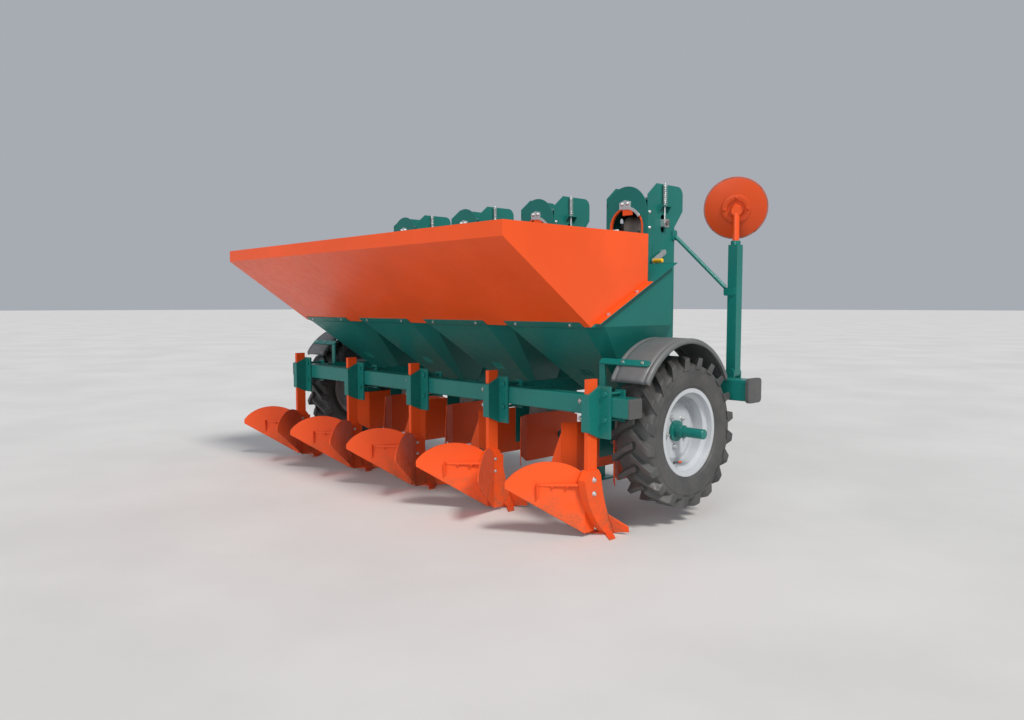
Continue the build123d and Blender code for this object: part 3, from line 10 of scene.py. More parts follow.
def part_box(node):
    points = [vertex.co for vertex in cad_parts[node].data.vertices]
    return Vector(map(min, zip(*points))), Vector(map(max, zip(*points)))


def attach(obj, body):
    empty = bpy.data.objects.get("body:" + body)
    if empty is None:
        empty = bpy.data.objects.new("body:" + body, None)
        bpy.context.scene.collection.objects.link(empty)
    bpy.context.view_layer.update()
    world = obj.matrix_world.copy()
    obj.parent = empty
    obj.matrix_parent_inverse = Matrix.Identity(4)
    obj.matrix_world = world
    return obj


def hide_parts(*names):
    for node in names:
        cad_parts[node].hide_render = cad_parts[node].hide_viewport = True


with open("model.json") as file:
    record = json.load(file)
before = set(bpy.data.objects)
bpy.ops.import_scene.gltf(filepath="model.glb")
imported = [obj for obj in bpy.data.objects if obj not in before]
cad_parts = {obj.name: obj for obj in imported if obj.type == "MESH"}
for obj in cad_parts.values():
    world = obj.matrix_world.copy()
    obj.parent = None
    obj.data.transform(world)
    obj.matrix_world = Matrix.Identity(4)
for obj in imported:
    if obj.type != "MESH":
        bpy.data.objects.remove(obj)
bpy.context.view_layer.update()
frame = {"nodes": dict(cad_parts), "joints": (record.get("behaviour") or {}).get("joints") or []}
nodes = frame["nodes"]
joints = {joint["name"]: joint for joint in frame["joints"]}
SIDES = {"left": -1, "right": 1}
ROW_PITCH = 0.75
ROWS = [ROW_PITCH * (index - 1.5) for index in range(4)]
RIDGERS = [ROW_PITCH * (index - 2) for index in range(5)]


# Materials

class Shader:
    """A small wrapper that adds and joins the nodes of one material."""

    def __init__(self, name):
        self.material = bpy.data.materials.new(name)
        self.material.use_nodes = True
        self.tree = self.material.node_tree
        self.tree.nodes.clear()
        self.surface = self.add("ShaderNodeBsdfPrincipled")
        output = self.add("ShaderNodeOutputMaterial")
        self.join(self.surface.outputs["BSDF"], output.inputs["Surface"])
        self.place = self.add("ShaderNodeTexCoord").outputs["Object"]

    def add(self, kind, **settings):
        node = self.tree.nodes.new(kind)
        for key, value in settings.items():
            setattr(node, key, value)
        return node

    def join(self, output, target):
        self.tree.links.new(output, target)

    def fill(self, target, value):
        """Joins a socket to the target, or sets a constant on it."""
        if isinstance(value, bpy.types.NodeSocket):
            self.join(value, target)
        else:
            target.default_value = value

    def noise(self, scale, detail=3.0, rough=0.55, stretch=None):
        node = self.add("ShaderNodeTexNoise")
        node.inputs["Scale"].default_value = scale
        node.inputs["Detail"].default_value = detail
        node.inputs["Roughness"].default_value = rough
        place = self.place
        if stretch:
            mapping = self.add("ShaderNodeMapping")
            mapping.inputs["Scale"].default_value = stretch
            self.join(place, mapping.inputs["Vector"])
            place = mapping.outputs["Vector"]
        self.join(place, node.inputs["Vector"])
        return node.outputs["Fac"]

    def ramp(self, value, low, high, start=0.0, end=1.0):
        """A smooth step from start to end, as the value goes from low to high."""
        node = self.add("ShaderNodeMapRange", interpolation_type="SMOOTHSTEP")
        self.join(value, node.inputs["Value"])
        node.inputs["From Min"].default_value = low
        node.inputs["From Max"].default_value = high
        node.inputs["To Min"].default_value = start
        node.inputs["To Max"].default_value = end
        return node.outputs["Result"]

    def drift(self, scale, detail, start, end):
        """A value that wanders between two limits over the surface."""
        return self.ramp(self.noise(scale, detail), 0.3, 0.7, start, end)

    def math(self, operation, a, b, clamp=True):
        node = self.add("ShaderNodeMath", operation=operation, use_clamp=clamp)
        self.fill(node.inputs[0], a)
        self.fill(node.inputs[1], b)
        return node.outputs["Value"]

    def mix(self, share, a, b):
        """A blend of two colours."""
        node = self.add("ShaderNodeMix", data_type="RGBA")
        self.fill(node.inputs["Factor"], share)
        self.fill(node.inputs[6], a)
        self.fill(node.inputs[7], b)
        return node.outputs[2]

    def axis(self, letter):
        """One coordinate of the place on the object, in metres."""
        split = self.add("ShaderNodeSeparateXYZ")
        self.join(self.place, split.inputs["Vector"])
        return split.outputs[letter]

    def rounded(self, radius):
        """The surface direction with sharp edges softened."""
        bevel = self.add("ShaderNodeBevel", samples=4)
        bevel.inputs["Radius"].default_value = radius
        return bevel.outputs["Normal"]

    def edges(self, soft):
        """1 on sharp edges, 0 on flats."""
        flat = self.add("ShaderNodeNewGeometry")
        dot = self.add("ShaderNodeVectorMath", operation="DOT_PRODUCT")
        self.join(soft, dot.inputs[0])
        self.join(flat.outputs["Normal"], dot.inputs[1])
        return self.ramp(dot.outputs["Value"], 0.985, 0.80)

    def bump(self, height, strength, distance, soft=None):
        node = self.add("ShaderNodeBump")
        node.inputs["Strength"].default_value = strength
        node.inputs["Distance"].default_value = distance
        self.join(height, node.inputs["Height"])
        if soft:
            self.join(soft, node.inputs["Normal"])
        self.join(node.outputs["Normal"], self.surface.inputs["Normal"])

    def set(self, **values):
        for key, value in values.items():
            self.fill(self.surface.inputs[key.replace("_", " ")], value)


GREEN = (0.008, 0.150, 0.128, 1.0)
ORANGE = (0.790, 0.085, 0.011, 1.0)
SILVER = (0.46, 0.48, 0.50, 1.0)
SOIL = (0.20, 0.105, 0.058, 1.0)
BARE_STEEL = (0.42, 0.41, 0.39, 1.0)
ZINC = (0.62, 0.63, 0.63, 1.0)
ZINC_GRIME = (0.30, 0.28, 0.25, 1.0)
TURNED_STEEL = (0.22, 0.22, 0.225, 1.0)
RUST = (0.15, 0.085, 0.05, 1.0)
RUBBER = (0.040, 0.041, 0.041, 1.0)
GREYED_RUBBER = (0.068, 0.068, 0.066, 1.0)
DRY_DUST = (0.125, 0.108, 0.092, 1.0)
BELTING = (0.105, 0.098, 0.090, 1.0)
EARTHY_BELTING = (0.190, 0.165, 0.135, 1.0)
GUARD_GREY = (0.115, 0.118, 0.119, 1.0)
CAP_GREY = (0.078, 0.077, 0.076, 1.0)
YELLOW = (0.86, 0.50, 0.02, 1.0)
PALE_GREY = (0.70, 0.71, 0.70, 1.0)

SOIL_HEIGHT = 0.34
ZINC_METAL = 0.85


def tone(colour, share):
    """A lighter or darker copy of a colour."""
    return tuple(min(1.0, part * share) for part in colour[:3]) + (1.0,)


def paint(name, colour, rough=0.30, wear_and_edge_highlight=0.25, dust=0.0, coat=0.12, edge=0.003):
    """Sprayed machine paint: uneven tone, a fine peel, edges lightened partly by rubbing and partly as a
    painted edge highlight, and dried soil low down.
    """
    s = Shader(name)
    soft = s.rounded(edge) if edge else None
    patches = s.ramp(s.noise(1.7, 3), 0.30, 0.70)
    base = s.mix(patches, tone(colour, 0.93), tone(colour, 1.05))
    if soft:
        edges = s.edges(soft)
        # Sharp edges are lightened to a paler tone of the paint: partly rubbed paint, partly a painted edge
        # highlight.
        rubbed_and_highlit = s.ramp(s.noise(24, 5, 0.6), 0.42, 0.62, 0.4 * wear_and_edge_highlight, 1.5 * wear_and_edge_highlight)
        base = s.mix(s.math("MULTIPLY", edges, rubbed_and_highlit), base, tone(colour, 1.35))
        chips = s.ramp(s.noise(90, 4), 0.60, 0.70, 0.0, wear_and_edge_highlight)
        base = s.mix(s.math("MULTIPLY", edges, chips), base, BARE_STEEL)
    low = s.ramp(s.axis("Z"), SOIL_HEIGHT, 0.0, 0.0, dust)
    splashes = s.ramp(s.noise(9, 6, 0.65), 0.38, 0.66)
    grains = s.ramp(s.noise(140, 4), 0.40, 0.62)
    soil = s.math("MULTIPLY", s.math("MULTIPLY", low, splashes), s.math("ADD", grains, 0.35))
    base = s.mix(soil, base, SOIL)
    gloss = s.math("ADD", s.drift(18, 4, rough - 0.05, rough + 0.06), soil)
    s.set(Base_Color=base, Roughness=gloss, Specular_IOR_Level=0.30)
    s.set(Coat_Weight=coat, Coat_Roughness=0.12)
    s.bump(s.noise(380, 2), 0.035, 0.0005, soft)
    return s.material


def zinc(name, painted=None):
    """Zinc-plated steel with a faint spangle; given a colour, bolts right of each clamp are painted over."""
    s = Shader(name)
    spangle = s.add("ShaderNodeTexVoronoi")
    spangle.inputs["Scale"].default_value = 160
    s.join(s.place, spangle.inputs["Vector"])
    flakes = s.ramp(spangle.outputs["Distance"], 0.1, 0.7)
    base = s.mix(flakes, tone(ZINC, 0.84), tone(ZINC, 1.1))
    grime = s.ramp(s.noise(34, 5), 0.56, 0.76, 0.0, 0.45)
    base = s.mix(grime, base, ZINC_GRIME)
    metal = ZINC_METAL
    if painted:
        from_clamp = s.math("ADD", s.axis("X"), 2.5 * ROW_PITCH, clamp=False)
        from_clamp = s.math("MODULO", from_clamp, ROW_PITCH, clamp=False)
        over = s.math("GREATER_THAN", from_clamp, ROW_PITCH / 2)
        base = s.mix(over, base, painted)
        metal = s.math("SUBTRACT", ZINC_METAL, over)
    s.set(Base_Color=base, Metallic=metal, Roughness=s.drift(60, 4, 0.26, 0.44))
    s.bump(s.noise(300, 3), 0.08, 0.0004, s.rounded(0.0015))
    return s.material


def worked_steel(name):
    """Bare turned steel with an oily film and a little rust."""
    s = Shader(name)
    rusty = s.ramp(s.noise(18, 6), 0.46, 0.70)
    base = s.mix(rusty, TURNED_STEEL, RUST)
    s.set(Base_Color=base, Metallic=0.75, Roughness=s.drift(44, 5, 0.34, 0.62))
    s.bump(s.noise(180, 3, stretch=(0.1, 1, 1)), 0.12, 0.0005)
    return s.material


def tyre_rubber(name):
    """Tyre rubber, greyed by dry soil that is caught in its grain."""
    s = Shader(name)
    greyed = s.ramp(s.noise(5, 5), 0.32, 0.70)
    base = s.mix(greyed, RUBBER, GREYED_RUBBER)
    clouds = s.ramp(s.noise(13, 6, 0.62), 0.48, 0.72)
    grains = s.ramp(s.noise(210, 3), 0.35, 0.6, 0.1, 0.4)
    base = s.mix(s.math("MULTIPLY", clouds, grains), base, DRY_DUST)
    s.set(Base_Color=base, Roughness=s.drift(52, 4, 0.46, 0.66))
    s.bump(s.noise(260, 4), 0.16, 0.0010, s.rounded(0.003))
    return s.material


def moulded(name, colour, rough=0.46, grain=240.0):
    """Moulded plastic with a fine grain, scuffs and dust."""
    s = Shader(name)
    patches = s.ramp(s.noise(4, 5), 0.32, 0.70)
    base = s.mix(patches, tone(colour, 0.88), tone(colour, 1.12))
    scuffs = s.ramp(s.noise(30, 6, 0.7, stretch=(0.25, 1, 1)), 0.60, 0.80, 0.0, 0.24)
    base = s.mix(scuffs, base, tone(colour, 1.7))
    s.set(Base_Color=base, Roughness=s.drift(38, 4, rough - 0.08, rough + 0.10))
    s.bump(s.noise(grain, 3), 0.16, 0.0007, s.rounded(0.004))
    return s.material


def belt_rubber(name):
    """Rubber belting with cups stained by earth."""
    s = Shader(name)
    stains = s.ramp(s.noise(14, 5), 0.4, 0.7)
    base = s.mix(stains, BELTING, EARTHY_BELTING)
    s.set(Base_Color=base, Roughness=s.drift(60, 4, 0.50, 0.75))
    s.bump(s.noise(320, 3), 0.25, 0.001)
    return s.material


green_frame = paint("green_frame", GREEN)
green_small = paint("green_small", GREEN, edge=None)
green_body = paint("green_body", tone(GREEN, 0.96), rough=0.38, wear_and_edge_highlight=0.15, coat=0.05)
orange_body = paint("orange_body", ORANGE, rough=0.33, wear_and_edge_highlight=0.12, coat=0.06)
# The marker discs take a darker copy of the orange paint, as painted shade.
orange_disc_painted_shade = paint("orange_disc_painted_shade", tone(ORANGE, 0.74), rough=0.40, wear_and_edge_highlight=0.20, coat=0.0)
orange_tools = paint("orange_tools", tone(ORANGE, 0.96), rough=0.46, wear_and_edge_highlight=0.30, dust=0.80, coat=0.0)
rim_silver = paint("rim_silver", SILVER, wear_and_edge_highlight=0.20, coat=0.2)
zinc_steel = zinc("zinc_steel")
clamp_zinc = zinc("clamp_zinc", painted=GREEN)
dark_steel = worked_steel("dark_steel")
tyre_black = tyre_rubber("tyre_black")
guard_plastic = moulded("guard_plastic", GUARD_GREY)
cap_plastic = moulded("cap_plastic", CAP_GREY, grain=320.0)
grip_yellow = moulded("grip_yellow", YELLOW, rough=0.32, grain=420.0)
pale_plastic = moulded("pale_plastic", PALE_GREY, rough=0.38, grain=420.0)
belt_black = belt_rubber("belt_black")

FINISHES = {
    green_frame: [
        "rear_bar", "front_bar", "frame_rails", "headstock", "parking_stands", "axle_hangers", "chain_cases",
        "guard_brackets", "ridger_clamps", "clamp_straps", "marker_mast_left", "marker_mast_right",
    ],
    green_small: ["spring_seats", "marker_brackets", "marker_stays", "wheel_axle_left", "wheel_axle_right"],
    green_body: ["hopper_throat", "seed_funnels", "elevator_cheeks", "elevator_arches", "elevator_ducts"],
    orange_body: ["hopper_shell", "window_liners", "marker_arm_left", "marker_arm_right"],
    orange_disc_painted_shade: ["marker_disc_left", "marker_disc_right"],
    orange_tools: [
        "ridger_shanks", "ridger_frogs", "ridger_left_wings", "ridger_right_wings", "wing_struts",
        "furrow_openers",
    ],
    rim_silver: ["rim_left", "rim_right"],
    zinc_steel: [
        "hitch_pins", "flange_bolts", "take_up_rods", "tension_springs",
        "wheel_nuts_left", "wheel_nuts_right", *[f"shaker_lever_{row}" for row in range(1, 5)],
    ],
    clamp_zinc: ["clamp_bolts"],
    dark_steel: ["drive_shaft_left", "drive_shaft_right", "upper_pulleys_left", "upper_pulleys_right"],
    tyre_black: ["tyre_left", "tyre_right"],
    guard_plastic: ["mudguards"],
    cap_plastic: ["bar_end_caps"],
    grip_yellow: [f"lever_grip_{row}" for row in range(1, 5)],
    belt_black: ["cup_belts"],
}
for material, names in FINISHES.items():
    for name in names:
        mesh = nodes[name].data
        mesh.materials.clear()
        mesh.materials.append(material)


# Pieces that the solids leave plain

def piece(name, form, body, material, crease=32):
    """A finished mesh as a piece that rides on a body."""
    mesh = bpy.data.meshes.new(name)
    bmesh.ops.recalc_face_normals(form, faces=form.faces)
    form.to_mesh(mesh)
    form.free()
    mesh.shade_smooth()
    mesh.set_sharp_from_angle(angle=radians(crease))
    mesh.materials.append(material)
    made = bpy.data.objects.new(name, mesh)
    bpy.context.scene.collection.objects.link(made)
    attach(made, body)
    return made


def rounded_edges(made, width):
    """Rounds the sharp edges of a piece."""
    bevel = made.modifiers.new("rounded", "BEVEL")
    bevel.width = width
    bevel.segments = 2
    bevel.limit_method = "ANGLE"
    bevel.angle_limit = radians(35)


def skin(form, rings, closed_ring=True, closed_way=False):
    """Quads between neighbouring rings of points."""
    grid = [[form.verts.new(point) for point in ring] for ring in rings]
    pairs = list(zip(grid, grid[1:]))
    if closed_way:
        pairs.append((grid[-1], grid[0]))
    for near, far in pairs:
        last = len(near) if closed_ring else len(near) - 1
        for index in range(last):
            after = (index + 1) % len(near)
            form.faces.new((near[index], near[after], far[after], far[index]))
    return grid


def capped(form, rings):
    """A skin of rings with both its ends filled."""
    grid = skin(form, rings)
    form.faces.new(grid[0])
    form.faces.new(grid[-1])


def turned(form, hub, way, outline, steps, ring=False):
    """An outline of (along, radius) pairs turned round an axis, as a closed ring or a capped solid."""
    turn = Vector(way).to_track_quat("Z", "Y").to_matrix()
    circles = []
    for along, radius in outline:
        circle = []
        for step in range(steps):
            angle = 2 * pi * step / steps
            circle.append(hub + turn @ Vector((radius * cos(angle), radius * sin(angle), along)))
        circles.append(circle)
    if ring:
        skin(form, circles, closed_way=True)
    else:
        capped(form, circles)


def hex_bolt(form, spot, way, size):
    """A washer, a chamfered hexagon head and the end of its thread, sized by head radius and height."""
    across, height = size
    way = Vector(way).normalized()
    spot = Vector(spot)
    washer = height * 0.22
    washer_radius = across * 1.25
    turned(form, spot, way, [(0, washer_radius), (washer, washer_radius)], 20)
    head = [(0, across), (height * 0.8, across), (height, across * 0.84)]
    turned(form, spot + way * washer, way, head, 6)
    thread = [(0, across * 0.5), (height * 0.4, across * 0.45)]
    turned(form, spot + way * (washer + height), way, thread, 12)


def surface_of(name):
    """The surface of a solid, for seating pieces on it."""
    mesh = nodes[name].data
    corners = [vertex.co for vertex in mesh.vertices]
    return BVHTree.FromPolygons(corners, [polygon.vertices for polygon in mesh.polygons])


def plate(form, corners, thickness):
    """A flat plate from its corners, with its thickness to one side."""
    corners = [Vector(corner) for corner in corners]
    way = (corners[1] - corners[0]).cross(corners[2] - corners[0]).normalized() * thickness
    capped(form, [corners, [corner + way for corner in corners]])


def joint_spot(name):
    """The point that a joint turns about."""
    return Vector(joints[name]["pos_m"])


TYRE_STEPS = 144
TYRE_ROUNDING = 0.0022
BEAD_TUCK_IN = 0.009
BEAD_TUCK_UNDER = 0.014
WALL_OVERHANG = 0.022
WALL_STEPS = 40
WALL_WIDEST = 0.52
WALL_REACH = 0.975
WALL_FALL = 0.045
SHOULDER_DROP = 0.020
# From the shoulder to the crown: share of the half width and drop under the tread
CROWN = [(0.86, 0.0145), (0.62, 0.0068), (0.31, 0.0017)]
LUG_COUNT = 20
LUG_HEIGHT = 0.030
LUG_SWEEP = 0.092
LUG_HALF_WIDTH = 0.0155
LUG_DRAFT = 0.008
LUG_STAGGER = 0.25
# Along a lug: place across the tyre, depth of its foot under the tread, height and width
LUG_STATIONS = [
    (-0.09, 0.004, 0.0335, 1.0),
    (0.30, 0.004, 0.0335, 1.0),
    (0.66, 0.011, 0.0400, 1.05),
    (0.90, 0.030, 0.0590, 1.15),
    (0.975, 0.034, 0.0600, 1.20),
    (1.0, 0.036, 0.0530, 1.10),
]


def wall_ring(share, place, height, width):
    """How far a raised ring stands out at a share of the wall's height."""
    return height * exp(-((share - place) / width) ** 2)


def casing_outline(half, rim_half, bead, tread):
    """Half of a tyre's section from the bead to the crown, with raised rings on its wall."""
    outline = [(rim_half - BEAD_TUCK_IN, bead - BEAD_TUCK_UNDER)]
    wall = tread - SHOULDER_DROP - bead
    for step in range(WALL_STEPS + 1):
        share = step / WALL_STEPS
        if share < WALL_WIDEST:
            bulge = rim_half + (WALL_REACH * half - rim_half) * sin(pi / 2 * share / WALL_WIDEST)
        else:
            bulge = half * (WALL_REACH - WALL_FALL * ((share - WALL_WIDEST) / (1 - WALL_WIDEST)) ** 2)
        rings = wall_ring(share, 0.14, 0.0026, 0.035) + wall_ring(share, 0.78, 0.0030, 0.022)
        outline.append((min(half, bulge + rings), bead + wall * share))
    outline += [(share * half, tread - drop) for share, drop in CROWN]
    return outline


def tyre(side_name, side):
    """A ringed casing with chevron lugs that end in blocks at its shoulders."""
    hub = joint_spot(f"wheel_spin_{side_name}")
    low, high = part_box(f"tyre_{side_name}")
    rim_low, rim_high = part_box(f"rim_{side_name}")
    radius = (high.z - low.z) / 2
    half = (high.x - low.x) / 2
    rim_half = (rim_high.x - rim_low.x) / 2
    bead = (rim_high.z - rim_low.z) / 2
    tread = radius - LUG_HEIGHT
    form = bmesh.new()

    def spot(x, reach, angle):
        return hub + Vector((x, reach * sin(angle), reach * cos(angle)))

    # The wall that shows from outside stands little past the rim; the inner one fills the solid's width
    halves = {side: rim_half + WALL_OVERHANG, -side: half}
    outline = [(-x, reach) for x, reach in casing_outline(halves[-1], rim_half, bead, tread)]
    outline += [(0, tread)] + casing_outline(halves[1], rim_half, bead, tread)[::-1]
    rings = []
    for step in range(TYRE_STEPS):
        rings.append([spot(x, reach, 2 * pi * step / TYRE_STEPS) for x, reach in outline])
    skin(form, rings, closed_ring=False, closed_way=True)
    for index in range(LUG_COUNT):
        for hand in (-1, 1):
            middle = 2 * pi / LUG_COUNT * (index + LUG_STAGGER * hand)
            rings = []
            for across, depth, height, width in LUG_STATIONS:
                foot = tread - depth
                top = min(radius, foot + height)
                ahead = -LUG_SWEEP * max(0.0, across)
                wide = LUG_HALF_WIDTH * width
                x = hand * across * halves[hand]
                rings.append([
                    spot(x, foot, middle + (ahead - wide - LUG_DRAFT) / foot),
                    spot(x, top, middle + (ahead - wide) / top),
                    spot(x, top, middle + (ahead + wide) / top),
                    spot(x, foot, middle + (ahead + wide + LUG_DRAFT) / foot),
                ])
            capped(form, rings)
    made = piece(f"lugged_tyre_{side_name}", form, f"wheel_{side_name}", tyre_black)
    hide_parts(f"tyre_{side_name}")
    rounded_edges(made, TYRE_ROUNDING)


GUARD_BACK = 0.026
GUARD_LIFT = 0.075
GUARD_WIDTH = 0.246
GUARD_SKIRT = 0.030
GUARD_SHEET = 0.005
GUARD_STEPS = 56
GUARD_DROOP = 0.013
# Degrees round the wheel
GUARD_START = 27
GUARD_END = 150
GUARD_ROLL = 3.0
# Across half the guard: distance from its edge and depth under the crown
GUARD_EDGE = [
    (0.0, GUARD_SKIRT), (0.0, 0.013), (0.004, 0.0050), (0.011, 0.001), (0.020, 0.0025),
    (0.026, 0.0095), (0.032, 0.0095), (0.037, 0.0030), (0.055, 0.0012), (GUARD_WIDTH / 2, 0.0),
]


def mudguards():
    """Moulded guards: a low crown, a groove and a rolled bead along both edges, and rolled ends."""
    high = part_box("mudguards")[1]
    form = bmesh.new()
    section = GUARD_EDGE + [(GUARD_WIDTH - across, depth) for across, depth in reversed(GUARD_EDGE[:-1])]
    for side_name, side in SIDES.items():
        hub = joint_spot(f"wheel_spin_{side_name}") + Vector((0, -GUARD_BACK, GUARD_LIFT))
        radius = high.z - hub.z
        inner_x = side * (high.x - GUARD_WIDTH)
        rings = []
        for step in range(GUARD_STEPS + 1):
            angle = GUARD_START + (GUARD_END - GUARD_START) * step / GUARD_STEPS
            from_end = min(angle - GUARD_START, GUARD_END - angle)
            droop = GUARD_DROOP * max(0.0, 1 - from_end / GUARD_ROLL) ** 2
            ring = []
            for across, depth in section:
                reach = radius - max(depth, min(GUARD_SKIRT, depth + droop))
                ring.append(Vector((
                    inner_x + side * across,
                    hub.y + reach * cos(radians(angle)),
                    hub.z + reach * sin(radians(angle)),
                )))
            rings.append(ring)
        skin(form, rings, closed_ring=False)
    made = piece("moulded_guards", form, "frame", guard_plastic, crease=50)
    sheet = made.modifiers.new("sheet", "SOLIDIFY")
    sheet.thickness = GUARD_SHEET
    sheet.offset = -1
    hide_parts("mudguards")


HOPPER_FLANGE = 0.035
HEM_INSET = 0.0042
HEM_WIDTH = 0.016
HEM_HEIGHT = 0.022
HEM_OUTER_BEND = 0.003
HEM_INNER_BEND = 0.005
# Round the hem: distance from the wall and drop under the rim
HEM_SECTION = [
    (0.0, HEM_HEIGHT),
    (0.0, HEM_OUTER_BEND),
    (HEM_OUTER_BEND, 0.0),
    (HEM_WIDTH - HEM_INNER_BEND, 0.0),
    (HEM_WIDTH, HEM_INNER_BEND),
    (HEM_WIDTH, HEM_HEIGHT - HEM_INNER_BEND),
    (HEM_WIDTH - HEM_INNER_BEND, HEM_HEIGHT),
]


def hopper_hem():
    """A folded hem round the hopper's rim, inside its walls."""
    low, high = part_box("hopper_shell")
    half_x = high.x - HOPPER_FLANGE
    middle_y = (low.y + high.y) / 2
    rings = []
    for hand, y in [(-1, low.y), (1, low.y), (1, high.y), (-1, high.y)]:
        inward = 1 if y < middle_y else -1
        ring = []
        for width, drop in HEM_SECTION:
            inset = HEM_INSET + width
            ring.append(Vector((hand * (half_x - inset), y + inward * inset, high.z - drop)))
        rings.append(ring)
    form = bmesh.new()
    skin(form, rings, closed_way=True)
    piece("hopper_hem", form, "frame", orange_body)


FROG_HALF = 0.0245
FROG_BOLT = (0.011, 0.008)
FROG_BOLT_RISES = (0.035, 0.105)
BLADE_REACH = 0.078
BLADE_SHEET = 0.007
# Round a share blade: reach from the frog, place ahead of the frog's nose, and height
BLADE = [
    (0.0, -0.012, 0.006),
    (BLADE_REACH, 0.018, 0.016),
    (BLADE_REACH, 0.014, 0.046),
    (0.0, -0.060, 0.112),
]


def ridger_details():
    """Bolts on both sides of the frogs, and the share blade on the right of each frog."""
    nose_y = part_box("ridger_frogs")[1].y
    shank_low, shank_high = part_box("ridger_shanks")
    shank_y = (shank_low.y + shank_high.y) / 2
    bolts = bmesh.new()
    blades = bmesh.new()
    for ridger_x in RIDGERS:
        for hand in (-1, 1):
            for rise in FROG_BOLT_RISES:
                spot = (ridger_x + hand * FROG_HALF, shank_y, shank_low.z + rise)
                hex_bolt(bolts, spot, (hand, 0, 0), FROG_BOLT)
        root_x = ridger_x + FROG_HALF
        plate(blades, [(root_x + reach, nose_y + ahead, z) for reach, ahead, z in BLADE], BLADE_SHEET)
    piece("frog_bolts", bolts, "frame", zinc_steel)
    rounded_edges(piece("share_blades", blades, "frame", orange_tools), 0.002)


BRACKET_DEPTH = 0.026
BRACKET_FOOT_SHARE = 0.6
BRACKET_RISE = 0.004
BRACKET_DROP = 0.064
BRACKET_SET = 0.008
BRACKET_SINK = 0.002
BRACKET_SHEET = 0.006
WING_SEARCH = 0.15
STRUT_BOLT = (0.007, 0.007)
STRUT_BOLT_SHARES = (0.38, 0.72)


def strut_brackets():
    """A bracket on the wing at the outer end of each strut, and two bolts through the strut."""
    low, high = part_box("wing_struts")
    middle_z = (low.z + high.z) / 2
    points = [vertex.co for vertex in nodes["wing_struts"].data.vertices]
    plates = bmesh.new()
    bolts = bmesh.new()
    for wing, hand in (("ridger_left_wings", -1), ("ridger_right_wings", 1)):
        surface = surface_of(wing)
        for ridger_x in RIDGERS:
            near = [point for point in points if 0 < hand * (point.x - ridger_x) < ROW_PITCH / 2]
            if not near:
                continue
            near.sort(key=lambda point: hand * (point.x - ridger_x))
            inner = Vector((near[0].x, near[0].y, middle_z))
            outer = Vector((near[-1].x, near[-1].y, middle_z))
            along = (inner - outer).normalized()
            rear = Vector((-hand * along.y, hand * along.x, 0))
            feet = []
            for height in (high.z + BRACKET_RISE, low.z - BRACKET_DROP):
                start = outer + along * BRACKET_SET + rear * WING_SEARCH
                start.z = height
                feet.append(surface.ray_cast(start, -rear, 2 * WING_SEARCH)[0])
            if None in feet:
                continue
            top, bottom = feet
            corners = [top - rear * BRACKET_SINK, bottom - rear * BRACKET_SINK]
            corners += [bottom + rear * BRACKET_FOOT_SHARE * BRACKET_DEPTH, top + rear * BRACKET_DEPTH]
            plate(plates, corners, BRACKET_SHEET)
            for share in STRUT_BOLT_SHARES:
                spot = outer.lerp(inner, share)
                spot.z = low.z
                hex_bolt(bolts, spot, (0, 0, -1), STRUT_BOLT)
    rounded_edges(piece("strut_brackets", plates, "frame", orange_tools), 0.0015)
    piece("strut_bolts", bolts, "frame", orange_tools)


FLARE_REACH = 0.046
FLARE_TIP_SHARE = 0.75
FLARE_LAP = 0.004
FLARE_SHEET = 0.005


def opener_flares():
    """Flared fins low on the trailing edges of the openers, which throw the soil outward."""
    low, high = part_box("furrow_openers")
    edge = high.x - ROWS[-1]
    form = bmesh.new()
    # Round the fin: reach past the trailing edge and height
    outline = [
        (-FLARE_LAP, high.z - 0.050),
        (-FLARE_LAP, low.z + 0.012),
        (FLARE_REACH, low.z + 0.002),
        (FLARE_TIP_SHARE * FLARE_REACH, low.z + 0.085),
    ]
    for row_x in ROWS:
        for hand in (-1, 1):
            corners = [(row_x + hand * (edge + reach), low.y - reach, z) for reach, z in outline]
            plate(form, corners, FLARE_SHEET)
    rounded_edges(piece("opener_flares", form, "frame", orange_tools), 0.0015)


DISC_EDGE_INSET = 0.004
DISC_EDGE_BAND = 0.004
DISC_EDGE_PROUD = 0.001
DISC_EDGE_THICKNESS = 0.0045
# Round the pressed ring: place along the axis from the disc's back, and radius
DISC_RING = [
    (0.003, 0.048), (-0.004, 0.050), (-0.006, 0.056),
    (-0.006, 0.078), (-0.003, 0.084), (0.006, 0.086),
]
DISC_BOLT = (0.008, 0.007)
DISC_BOLT_COUNT = 4
DISC_BOLT_CIRCLE = 0.067
DISC_BOLT_SEAT = 0.005


